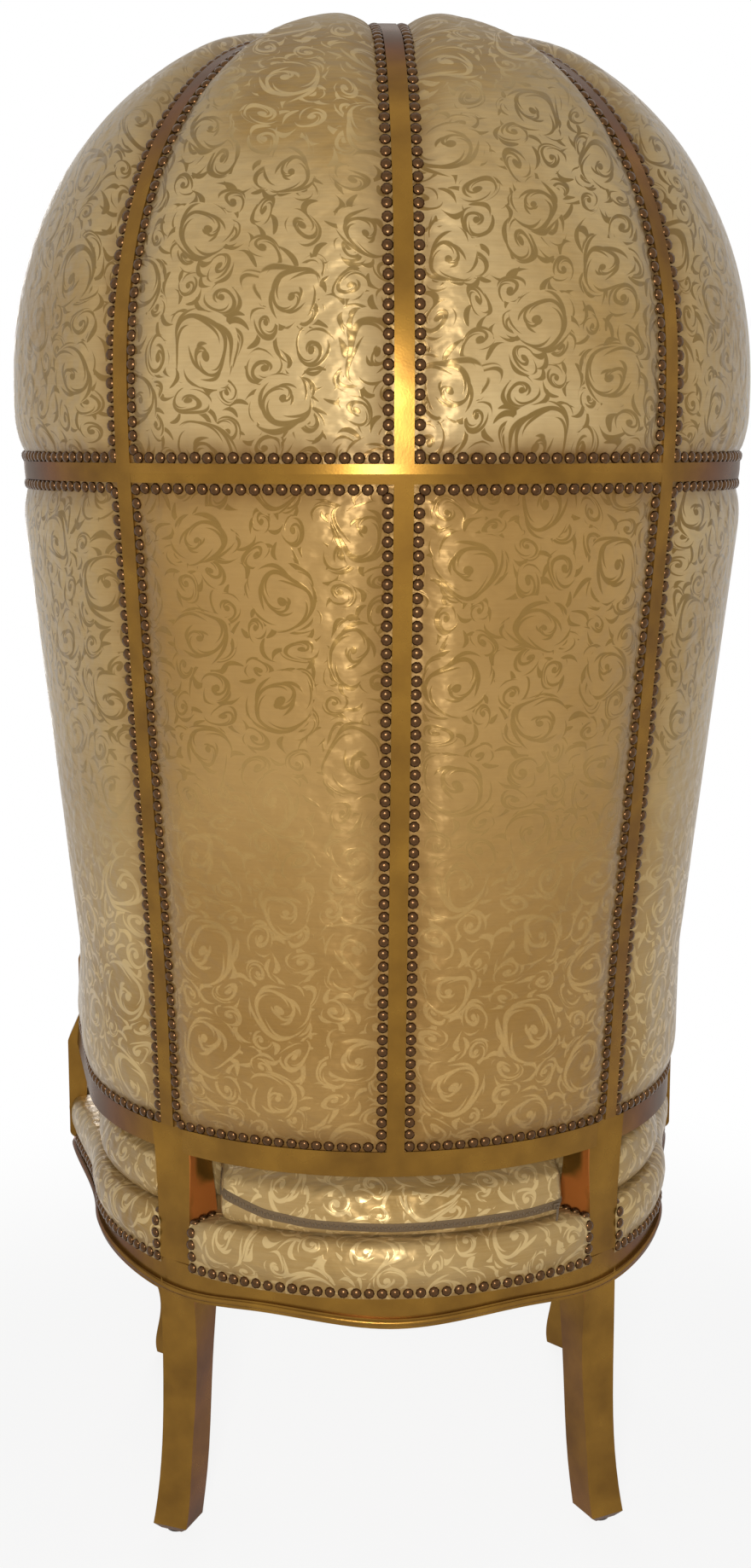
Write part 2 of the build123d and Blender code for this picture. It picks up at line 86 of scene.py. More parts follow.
def linear(code: str) -> tuple[float, float, float, float]:
    """Turns an sRGB hex colour into linear values.

    Args:
        code: six hex digits, with or without a leading hash.

    Returns:
        Red, green, blue and an alpha of one.
    """
    code = code.lstrip("#")
    parts = [int(code[i : i + 2], 16) / 255 for i in (0, 2, 4)]
    r, g, b = (c / 12.92 if c <= 0.04045 else ((c + 0.055) / 1.055) ** 2.4 for c in parts)
    return (r, g, b, 1.0)


def select_only(piece: Piece) -> None:
    """Makes one object the only selected and the active one."""
    bpy.ops.object.select_all(action="DESELECT")
    piece.select_set(True)
    bpy.context.view_layer.objects.active = piece


def apply_all(piece: Piece) -> None:
    """Applies every modifier of a piece, in order."""
    select_only(piece)
    for modifier in list(piece.modifiers):
        bpy.ops.object.modifier_apply(modifier=modifier.name)


def settle(piece: Piece, angle: float = 40.0) -> None:
    """Puts a piece's place into its mesh and smooths its faces.

    Args:
        piece: the object to finish.
        angle: edges sharper than this many degrees stay sharp.
    """
    select_only(piece)
    bpy.ops.object.transform_apply(location=True, rotation=True, scale=True)
    bpy.ops.object.shade_smooth_by_angle(angle=math.radians(angle))


def merge_pieces(name: str, pieces: list[Piece]) -> Piece:
    """Joins several objects into one.

    Args:
        name: what the joined object is called.
        pieces: the objects, at least one.

    Returns:
        The joined object.
    """
    bpy.ops.object.select_all(action="DESELECT")
    for piece in pieces:
        piece.select_set(True)
    bpy.context.view_layer.objects.active = pieces[0]
    if len(pieces) > 1:
        bpy.ops.object.join()
    joined = bpy.context.view_layer.objects.active
    joined.name = name
    joined.data.name = name
    return joined


@contextmanager
def edit_mode() -> Iterator[None]:
    """Opens the active object's mesh, all of it selected, for the tools that need it."""
    bpy.ops.object.mode_set(mode="EDIT")
    bpy.ops.mesh.select_all(action="SELECT")
    yield
    bpy.ops.object.mode_set(mode="OBJECT")


def add_mesh(name: str, points: list, faces: list) -> Piece:
    """Adds an object made of points in metres and of faces."""
    mesh = bpy.data.meshes.new(name)
    mesh.from_pydata(points, [], faces)
    return add_object(name, mesh)


def add_object(name: str, data: bpy.types.ID) -> Piece:
    """Adds an object that holds a mesh, a lamp or a camera."""
    piece = bpy.data.objects.new(name, data)
    bpy.context.scene.collection.objects.link(piece)
    return piece


def bevelled_box(size: tuple, place: tuple, bevel: float, segments: int) -> Piece:
    """Adds a small box with softened edges, its measures in millimetres."""
    bpy.ops.object.select_all(action="DESELECT")
    bpy.ops.mesh.primitive_cube_add(size=1, location=[c * MM for c in place])
    box = bpy.context.active_object
    box.scale = [c * MM for c in size]
    bpy.ops.object.transform_apply(location=True, scale=True)
    with edit_mode():
        bpy.ops.mesh.bevel(offset=bevel * MM, segments=segments)
    return box


def take_mesh(piece: Piece) -> Mesh:
    """Reads an object's points and faces, in the same order each run, and removes the object."""
    points = np.array([v.co[:] for v in piece.data.vertices])
    order = np.lexsort(points.round(7).T)
    rank = np.argsort(order).tolist()
    faces = []
    for polygon in piece.data.polygons:
        face = [rank[v] for v in polygon.vertices]
        first = face.index(min(face))
        faces.append(tuple(face[first:] + face[:first]))
    bpy.data.objects.remove(piece)
    return points[order], sorted(faces)


def add_copies(name: str, pattern: Mesh, places: list[tuple[np.ndarray, np.ndarray]]) -> Piece:
    """Adds one object that holds a copy of a small mesh at every place.

    Args:
        name: what the object is called.
        pattern: points and faces of the small mesh.
        places: the turn, as a matrix, and the spot of each copy, in metres.

    Returns:
        The object.
    """
    points, faces = pattern
    copies = np.concatenate([points @ turn.T + spot for turn, spot in places])
    joined = [tuple(v + k * len(points) for v in face) for k in range(len(places)) for face in faces]
    return add_mesh(name, copies.tolist(), joined)


def dress(piece: Piece, material: bpy.types.Material) -> None:
    """Gives a piece one material."""
    piece.data.materials.clear()
    piece.data.materials.append(material)


def cover(piece: Piece, node: str, body: str) -> None:
    """Args:
        piece: the soft piece.
        node: the node that it replaces.
        body: the body that it moves with.
    """
    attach(piece, body)
    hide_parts(node)


def hermite(t: float) -> tuple[float, float, float, float]:
    """Shares of the start, its slope, the end and its slope on a smooth line."""
    return (2 * t**3 - 3 * t**2 + 1, t**3 - 2 * t**2 + t, 3 * t**2 - 2 * t**3, t**3 - t**2)


def run_along(points: np.ndarray) -> np.ndarray:
    """Distance of each point from the first, measured along their line."""
    return np.concatenate([[0], np.cumsum(np.linalg.norm(np.diff(points, axis=0), axis=1))])


class Tree:
    """The node tree of a material or of the surroundings, filled a node at a time."""

    def __init__(self, owner: bpy.types.Material | bpy.types.World) -> None:
        """Empties the node tree of its owner."""
        self.owner = owner
        owner.use_nodes = True
        self.nodes, self.links = owner.node_tree.nodes, owner.node_tree.links
        self.nodes.clear()

    def add(self, kind: str, settings: dict | None = None, **inputs: object) -> bpy.types.Node:
        """Adds a node with its settings and its inputs.

        Args:
            kind: the node's type name.
            settings: attributes set on the node itself.
            **inputs: sockets by name or by "i" and their number; a value, or a socket to link.

        Returns:
            The new node.
        """
        node = self.nodes.new(kind)
        for key, value in (settings or {}).items():
            setattr(node, key, value)
        for key, value in inputs.items():
            index = int(key[1:]) if key[0] == "i" and key[1:].isdigit() else key.replace("_", " ")
            socket = node.inputs[index]
            if isinstance(value, Socket):
                self.links.new(value, socket)
            else:
                socket.default_value = value
        return node

    def math(self, operation: str, *values: object) -> Socket:
        """Adds a sum of numbers or sockets and returns its result."""
        inputs = {f"i{i}": value for i, value in enumerate(values)}
        return self.add("ShaderNodeMath", {"operation": operation}, **inputs).outputs[0]

    def mad(self, value: object, times: object, more: object) -> Socket:
        """A value times another, and more."""
        return self.math("MULTIPLY_ADD", value, times, more)

    def mul(self, value: object, times: object) -> Socket:
        """A value times another."""
        return self.math("MULTIPLY", value, times)

    def sub(self, value: object, less: object) -> Socket:
        """A value less another."""
        return self.math("SUBTRACT", value, less)

    def low(self, value: object, other: object) -> Socket:
        """The lower of two values."""
        return self.math("MINIMUM", value, other)

    def high(self, value: object, other: object) -> Socket:
        """The higher of two values."""
        return self.math("MAXIMUM", value, other)

    def vector(self, operation: str, *values: object) -> Socket:
        """Adds a sum of vectors and returns its result."""
        inputs = {f"i{i}": value for i, value in enumerate(values)}
        return self.add("ShaderNodeVectorMath", {"operation": operation}, **inputs).outputs[0]

    def place(self) -> Socket:
        """The place of a point in its object, in metres."""
        return self.add("ShaderNodeTexCoord").outputs["Object"]

    def parts(self, vector: Socket) -> list[Socket]:
        """X, Y and Z of a vector."""
        return list(self.add("ShaderNodeSeparateXYZ", None, i0=vector).outputs)

    def clamp(self, value: Socket) -> Socket:
        """Keeps a value between 0 and 1."""
        return self.add("ShaderNodeClamp", None, Value=value).outputs[0]

    def smooth(self, value: Socket, low: float, high: float) -> Socket:
        """A smooth share, from 0 at the low value to 1 at the high one."""
        kind = {"interpolation_type": "SMOOTHSTEP"}
        return self.add("ShaderNodeMapRange", kind, Value=value, From_Min=low, From_Max=high).outputs[0]

    def noise(
        self, place: Socket, scale: float, detail: float, dimensions: str = "3D"
    ) -> bpy.types.NodeOutputs:
        """Noise at a place: its value and its colour."""
        kind = {"noise_dimensions": dimensions}
        return self.add("ShaderNodeTexNoise", kind, Vector=place, Scale=scale, Detail=detail).outputs

    def mix(self, share: object, low: object, high: object) -> Socket:
        """Mixes two colours by a share; each is a socket or six hex digits."""
        ends = [linear(colour) if isinstance(colour, str) else colour for colour in (low, high)]
        return self.add("ShaderNodeMix", {"data_type": "RGBA"}, i0=share, i6=ends[0], i7=ends[1]).outputs[2]

    def bump(self, strength: float, distance: float, height: Socket, **more: object) -> Socket:
        """A surface direction that shows small heights, in metres."""
        node = self.add("ShaderNodeBump", None, Strength=strength, Distance=distance, Height=height, **more)
        return node.outputs[0]

    def surface(self, **inputs: object) -> bpy.types.ID:
        """Ends the tree in a principled shader with these inputs, and returns the owner."""
        return self.finish(self.add("ShaderNodeBsdfPrincipled", None, **inputs))

    def seen(self) -> Socket:
        """1 for the rays that show a thing in the picture, and 0 for those that only light."""
        rays = self.add("ShaderNodeLightPath").outputs
        seen = self.high(rays["Is Camera Ray"], rays["Is Transmission Ray"])
        return self.high(seen, rays["Is Glossy Ray"])

    def finish(self, shader: bpy.types.Node) -> bpy.types.ID:
        """Joins the shader to the output and returns the owner."""
        kind = "World" if isinstance(self.owner, bpy.types.World) else "Material"
        output = self.nodes.new(f"ShaderNodeOutput{kind}")
        self.links.new(shader.outputs[0], output.inputs["Surface"])
        return self.owner


def stile_side() -> tuple[float, float, float, float]:
    """The plane of the rear stiles' inner sides, as factors of |x|, y and z and an offset."""
    (x0, y0, z0), (x1, y1, z1) = STILE_LINE
    across = (math.cos(POST_TURN), -math.sin(POST_TURN))
    low, high = x0 * across[0] + y0 * across[1], x1 * across[0] + y1 * across[1]
    lean = (high - low) / (z1 - z0)
    return (-across[0], -across[1], lean, (low - lean * z0 - STILE_HALF) * MM)


@dataclass(frozen=True)
class GiltWood:
    """Carved beech under aged water gilding: gesso, bole and burnished leaf.

    The leaf gives a broad metallic sheen, the thin bole under it warms the rubbed
    places, and dark wax sits in the pores.
    """

    name: str = "water gilding on beech"
    leaf: str = "8E6829"
    bole: str = "503517"
    edge: str = "6E5028"
    roughness: float = 0.27
    metallic: float = 0.62
    mottle_mm: float = 55.0
    grain_mm: float = 2.2
    # Stained wood where the gilder stopped: its colour, the plane beyond which it shows,
    # as the factors of |x|, y and z and the offset, and its upper end, in metres.
    stain: str = "9E5C28"
    bare_side: tuple[float, float, float, float] | None = None
    bare_top: float = 0.462
    # How soft the stain's edges are at its side and at its top.
    soft_mm: Pair = (0.8, 2.0)

    def _bare(self, t: Tree, place: Socket) -> Socket | float:
        """Share of stained wood: 1 beyond the bare side's plane."""
        if self.bare_side is None:
            return 0.0
        x, y, z = t.parts(place)
        by_x, by_y, by_z, start = self.bare_side
        side, top = (1 / (soft * MM) for soft in self.soft_mm)
        beyond = t.mad(t.math("ABSOLUTE", x), by_x, start)
        beyond = t.mad(z, by_z, t.mad(y, by_y, beyond))
        under = t.mul(t.sub(self.bare_top, z), top)
        return t.clamp(t.low(t.mul(beyond, side), under))

    def make(self) -> bpy.types.Material:
        """Builds the material."""
        t = Tree(bpy.data.materials.new(self.name))
        place = t.place()
        bare = self._bare(t, place)
        mottle = t.noise(place, 1 / (self.mottle_mm * MM), 5.0)[0]
        grain = t.noise(place, 1 / (self.grain_mm * MM), 2.0)[0]
        rub = t.clamp(t.mul(mottle, 1.3))
        return t.surface(
            Base_Color=t.mix(bare, t.mix(rub, self.bole, self.leaf), self.stain),
            Metallic=t.mad(bare, -self.metallic, self.metallic),
            Roughness=t.mad(mottle, -0.16, self.roughness + 0.1),
            Normal=t.bump(0.12, 0.0004, grain),
            Specular_Tint=linear(self.edge),
            Coat_Weight=0.06,
            Coat_Roughness=0.18,
        )


@dataclass(frozen=True)
class Curls:
    """A layer of curling vine, one curl to a cell of a staggered grid, in millimetres."""

    width: float
    height: float
    radii: Pair
    pitch: float
    line: float
    jitter: float
    hooks: float
    hook_length: float
    seed: float


@dataclass(frozen=True)
class Leaves:
    """A layer of loose curved leaves, one to a cell of a staggered grid, in millimetres."""

    width: float
    height: float
    length: float
    breadth: float
    seed: float


@dataclass
class Cell:
    """Where a point lies in its cell, and four random shares of that cell."""

    x: Socket
    y: Socket
    shares: list[Socket]


@dataclass(frozen=True)
class Damask:
    """Rayon and cotton damask: a satin ground with a woven scrolling vine.

    The satin floats spread the light up and down and keep it narrow across, so a
    bright line runs down every rounded pad. The vine is duller and darker, except
    where the light falls straight back.
    """

    name: str = "woven damask"
    ground: str = "BBA173"
    cloud: str = "94743F"
    vine: str = "7A6134"
    edge: str = "D9C39A"
    roughness: float = 0.38
    # Painted sheen by height: low down and on the crown, where the light skims the floats, the same vine is
    # painted paler than its ground; between those heights the ground is painted lighter and the vine
    # darker.
    pale: str = "C9AD79"
    turn: Pair = (0.62, 1.02)
    crown_sheen_turn: Pair = (1.66, 1.47)
    # Dust and wear in the folds beside the nails.
    # Painted shade: the colour mixed in along the nailed edges, where the pads roll down into their folds.
    painted_shade_colour: str = "6A4A22"
    # Length and breadth of the slubs and of the sags.
    slub_mm: Pair = (45.0, 2.1)
    sag_mm: Pair = (24.0, 16.0)
    cloud_mm: float = 160.0
    # The drawing wanders by this much over this length.
    drift_mm: Pair = (24.0, 60.0)
    big: Curls = Curls(80, 108, (27.0, 31.0), 22.0, 1.7, 0.10, 4, 10.5, 3.0)
    small: Curls = Curls(40, 36, (10.5, 14.5), 13.5, 1.35, 0.2, 2, 7.0, 13.0)
    leaves: tuple[Leaves, ...] = (Leaves(27, 23, 10.5, 3.3, 33.0), Leaves(38, 33, 13.0, 3.1, 53.0))

    @staticmethod
    def _cell(t: Tree, place: Socket, layer: Curls | Leaves, jitter: float) -> Cell:
        """Finds the cell of a staggered grid and the place inside it."""
        x, level, _ = t.parts(place)
        column = t.math("FLOOR", t.math("DIVIDE", x, layer.width))
        odd = t.math("FLOORED_MODULO", column, 2.0)
        y = t.mad(odd, layer.height / 2, level)
        row = t.math("FLOOR", t.math("DIVIDE", y, layer.height))
        spot = t.add("ShaderNodeCombineXYZ", None, X=column, Y=row, Z=layer.seed).outputs[0]
        chance = t.add("ShaderNodeTexWhiteNoise", {"noise_dimensions": "3D"}, Vector=spot)
        r_g_b = t.add("ShaderNodeSeparateColor", None, i0=chance.outputs["Color"]).outputs
        shares = [r_g_b[0], r_g_b[1], r_g_b[2], chance.outputs["Value"]]
        ends = []
        axes = ((x, column, layer.width, r_g_b[0]), (y, row, layer.height, r_g_b[1]))
        for at, index, size, share in axes:
            middle = t.mad(share, jitter, t.math("ADD", index, 0.5 - jitter / 2))
            ends.append(t.sub(at, t.mul(middle, size)))
        return Cell(ends[0], ends[1], shares)

    def _curls(
        self, t: Tree, place: Socket, layer: Curls
    ) -> tuple[Socket, Socket]:
        """Draws one layer of curls.

        Args:
            t: the tree to draw in.
            place: the flat cloth's place in millimetres.
            layer: sizes of the curls.

        Returns:
            How far inside the vine a point lies, and how far outside the curl.
        """
        cell = self._cell(t, place, layer, layer.jitter)
        low, high = layer.radii
        reach = t.mad(cell.shares[2], high - low, low)
        hand = t.mad(t.math("GREATER_THAN", cell.shares[3], 0.5), 2.0, -1.0)
        squares = t.mad(cell.x, cell.x, t.mul(cell.y, cell.y))
        radius = t.math("SQRT", squares)
        turn = t.math("DIVIDE", t.math("ARCTAN2", cell.y, t.mul(cell.x, hand)), 2 * math.pi)
        phase = t.math("ADD", t.mad(radius, 1 / layer.pitch, turn), cell.shares[1])
        apart = t.mul(t.sub(t.math("FRACT", phase), 0.5), layer.pitch)
        # An arm that grows broader outwards, with a bud in its eye.
        grow = t.low(t.math("DIVIDE", radius, reach), 1.0)
        spare = t.sub(reach, radius)
        swell = t.mad(grow, 0.6 * layer.line, 0.65 * layer.line)
        arm = t.low(t.sub(swell, t.math("ABSOLUTE", apart)), spare)
        bud = t.sub(2.3 * layer.line, radius)
        long = t.mad(grow, 0.65 * layer.hook_length, 0.35 * layer.hook_length)
        broad = t.mad(grow, 0.5, 0.5)
        blades = []
        # The blades on each side of the arm: how far out, where along it, and how broad.
        for side, shift, fat in ((1.0, 0.0, 1.15), (-0.8, 0.5, 1.0)):
            along = t.mad(turn, layer.hooks, cell.shares[2])
            along = t.math("FRACT", t.math("ADD", along, shift))
            middle = t.mul(t.mul(t.math("POWER", along, 1.3), side), long)
            wide = t.math("POWER", t.math("SINE", t.mul(along, math.pi)), 0.8)
            wide = t.mul(t.mul(wide, fat * layer.line), broad)
            blades.append(t.sub(wide, t.math("ABSOLUTE", t.sub(apart, middle))))
        blade = t.low(t.high(*blades), t.math("ADD", spare, 3.0))
        inside = t.high(t.high(arm, bud), blade)
        return inside, t.mul(spare, -1.0)

    def _leaves(self, t: Tree, place: Socket, layer: Leaves) -> Socket:
        """Draws one layer of loose leaves: how far inside a leaf a point lies."""
        cell = self._cell(t, place, layer, 0.25)
        spot = t.add("ShaderNodeCombineXYZ", None, X=cell.x, Y=cell.y).outputs[0]
        lean = t.mul(cell.shares[2], 2 * math.pi)
        turned = t.add("ShaderNodeVectorRotate", {"rotation_type": "Z_AXIS"}, Vector=spot, Angle=lean)
        along, aside, _ = t.parts(turned.outputs[0])
        bent = t.mad(t.mul(along, along), 0.55 / layer.length, aside)
        bent = t.math("ABSOLUTE", t.sub(bent, 0.1 * layer.length))
        share = t.clamp(t.mad(along, 0.5 / layer.length, 0.5))
        taper = t.mul(t.math("SQRT", share), t.sub(1.0, share))
        blade = t.sub(t.mul(taper, 2.2 * layer.breadth), bent)
        return t.low(blade, t.sub(layer.length, t.math("ABSOLUTE", along)))

    def _vine(self, t: Tree, uv: Socket) -> Socket:
        """Draws the vine: its curls and leaves, 1 on the vine and 0 off it."""
        push, length = self.drift_mm
        place = t.vector("MULTIPLY", uv, (1 / MM,) * 3)
        drift = t.vector("SUBTRACT", t.noise(place, 1 / length, 0.0, "2D")[1], (0.5,) * 3)
        place = t.vector("MULTIPLY_ADD", drift, (push, push, 0.0), place)
        vine, far = self._curls(t, place, self.big)
        aside = t.vector("ADD", place, (40.0, 20.0, 0.0))
        small, far_small = self._curls(t, aside, self.small)
        small = t.low(small, t.mul(t.sub(far, 3.0), 5.0))
        vine = t.high(vine, small)
        near = t.low(far, far_small)
        for layer in self.leaves:
            blade = self._leaves(t, place, layer)
            blade = t.low(blade, t.mul(t.sub(near, 0.8), 5.0))
            vine = t.high(vine, blade)
        return t.clamp(t.mad(vine, 1.5, 0.5))

    def make(self) -> bpy.types.Material:
        """Builds the material."""
        t = Tree(bpy.data.materials.new(self.name))
        uv = t.add("ShaderNodeUVMap", {"uv_map": "cloth"}).outputs[0]
        vine = self._vine(t, uv)
        place = t.place()
        cloud = t.noise(place, 1 / (self.cloud_mm * MM), 2.0)[0]
        # Fine slubs run across the cloth, drawn wider than the real threads so that they
        # show. The cloth is never quite taut: small sags break up its shine.
        slub, sag = (
            t.noise(t.vector("MULTIPLY", uv, (1 / (a * MM), 1 / (b * MM), 0.0)), 1.0, detail, "2D")[0]
            for (a, b), detail in ((self.slub_mm, 1.0), (self.sag_mm, 1.5))
        )
        # Painted sheen by height: the share is 1 between the two turns, where the vine keeps its dark
        # colour and the ground is painted lighter, and 0 low down and on the crown, where the vine is
        # painted pale.
        level = t.mad(cloud, 0.5, t.math("ADD", t.parts(place)[2], -0.25))
        dark = t.mul(t.smooth(level, *self.turn), t.smooth(level, *self.crown_sheen_turn))
        tone = t.mad(slub, 0.25, t.mad(cloud, 1.6, -0.2))
        tone = t.clamp(t.mad(dark, -0.4, tone))
        share = t.mul(vine, t.mad(cloud, -0.5, 1.15))
        vine_with_painted_sheen = t.mix(dark, self.pale, self.vine)
        colour = t.mix(share, t.mix(tone, self.ground, self.cloud), vine_with_painted_sheen)
        # Painted shade along the nailed edges, read from a point attribute of the pad.
        worn = t.add("ShaderNodeAttribute", {"attribute_name": "worn"}).outputs["Fac"]
        height = t.mad(vine, 0.5, t.mul(slub, 0.35))
        warp = t.add("ShaderNodeTangent", {"direction_type": "UV_MAP", "uv_map": "cloth"})
        return t.surface(
            Base_Color=t.mix(worn, colour, self.painted_shade_colour),
            Roughness=t.mad(vine, -0.1, self.roughness),
            Metallic=t.mad(vine, 0.1, 0.12),
            Normal=t.bump(0.3, 0.0006, height, Normal=t.bump(0.7, 0.004, sag)),
            Tangent=warp.outputs[0],
            Anisotropic=0.75,
            Anisotropic_Rotation=0.25,
            Specular_IOR_Level=0.42,
            Specular_Tint=linear(self.edge),
        )


@dataclass(frozen=True)
class PlainFinish:
    """A finish of one substance with a little unevenness in its colour."""

    name: str
    light: str
    dark: str
    roughness: float
    metallic: float
    mottle_mm: float

    def make(self) -> bpy.types.Material:
        """Builds the material."""
        t = Tree(bpy.data.materials.new(self.name))
        mottle = t.noise(t.place(), 1 / (self.mottle_mm * MM), 4.0)[0]
        return t.surface(
            Base_Color=t.mix(mottle, self.dark, self.light),
            Normal=t.bump(0.15, 0.0003, mottle),
            Roughness=self.roughness,
            Metallic=self.metallic,
        )


class Stuff(Enum):
    """The finishes of the chair and of the room."""

    GILT = GiltWood()
    # The rear stiles' inner sides, beside the cushion, are stained and not gilded.
    GILT_STILE = GiltWood("water gilding on beech, one side stained", bare_side=stile_side())
    DAMASK = Damask()
    # The two broad panels of the back lie flat; their copy of the damask is darker, which is painted shade,
    # and its pale vine's contrast is painted almost level.
    DAMASK_RUBBED = Damask(
        "woven damask, rubbed", "A3824F", "8A6836", "80622F", "D9C39A", roughness=0.36, pale="AE8D57"
    )
    # Antiqued brass: lacquered dark brown, rubbed back to metal on the domes.
    NAIL = PlainFinish("antiqued brass", "6A4A2A", "33200F", 0.27, 0.85, 3.0)
    # Plain satin of the same gold, for covered buttons and the deck.
    SATIN = PlainFinish("plain satin", "B8925A", "A07C48", 0.5, 0.1, 20.0)
    # Bare steamed beech, planed: pinkish tan and dull.
    BEECH = PlainFinish("bare beech", "C9A27A", "A87E56", 0.7, 0.0, 12.0)
    # Jute webbing: coarse, pale brown and matte.
    JUTE = PlainFinish("jute webbing", "B49A6C", "8C7348", 0.9, 0.0, 1.5)
    # Moulded nylon: dark and satin.
    NYLON = PlainFinish("moulded nylon", "3A332C", "2C2620", 0.5, 0.0, 4.0)
    # Nickel-plated zip teeth.
    ZIP_TEETH = PlainFinish("nickel plate", "75624A", "544430", 0.5, 0.35, 2.0)
    # Woven polyester zip tape.
    ZIP_TAPE = PlainFinish("polyester tape", "6F5A3F", "58462F", 0.9, 0.0, 0.8)


class Wardrobe:
    """Makes each finish once and hands it out."""

    def __init__(self) -> None:
        """Starts with nothing made."""
        self.made: dict[Stuff, bpy.types.Material] = {}

    def get(self, stuff: Stuff) -> bpy.types.Material:
        """The material of a finish, made on first use."""
        if stuff not in self.made:
            self.made[stuff] = stuff.value.make()
        return self.made[stuff]


@dataclass(frozen=True)
class Ring:
    """One level of the shell: a round back with straight flared sides, in millimetres."""

    level: float
    radius: float
    centre: float
    flare: float

    def arc_length(self) -> float:
        """Length of the round part on one side, from the middle of the back."""
        return self.radius * (math.pi / 2 - math.radians(self.flare))

    def place(self, along: float) -> Pair:
        """X and Y at a distance along the ring from the middle of the back."""
        hand, length = (1 if along >= 0 else -1), abs(along)
        turn = math.radians(self.flare)
        if length <= self.arc_length():
            angle = length / self.radius
            return hand * self.radius * math.sin(angle), self.centre + self.radius * math.cos(angle)
        rest = length - self.arc_length()
        x = self.radius * math.cos(turn) + rest * math.sin(turn)
        return hand * x, self.centre + self.radius * math.sin(turn) - rest * math.cos(turn)

    def at_y(self, y: float) -> float:
        """Distance along the ring of the point at a Y on the straight side."""
        turn = math.radians(self.flare)
        return self.arc_length() + (self.centre + self.radius * math.sin(turn) - y) / math.cos(turn)

    def at_x(self, x: float) -> float:
        """Distance along the ring of the point of the round back at an X."""
        return self.radius * math.asin(max(-1.0, min(1.0, x / self.radius)))


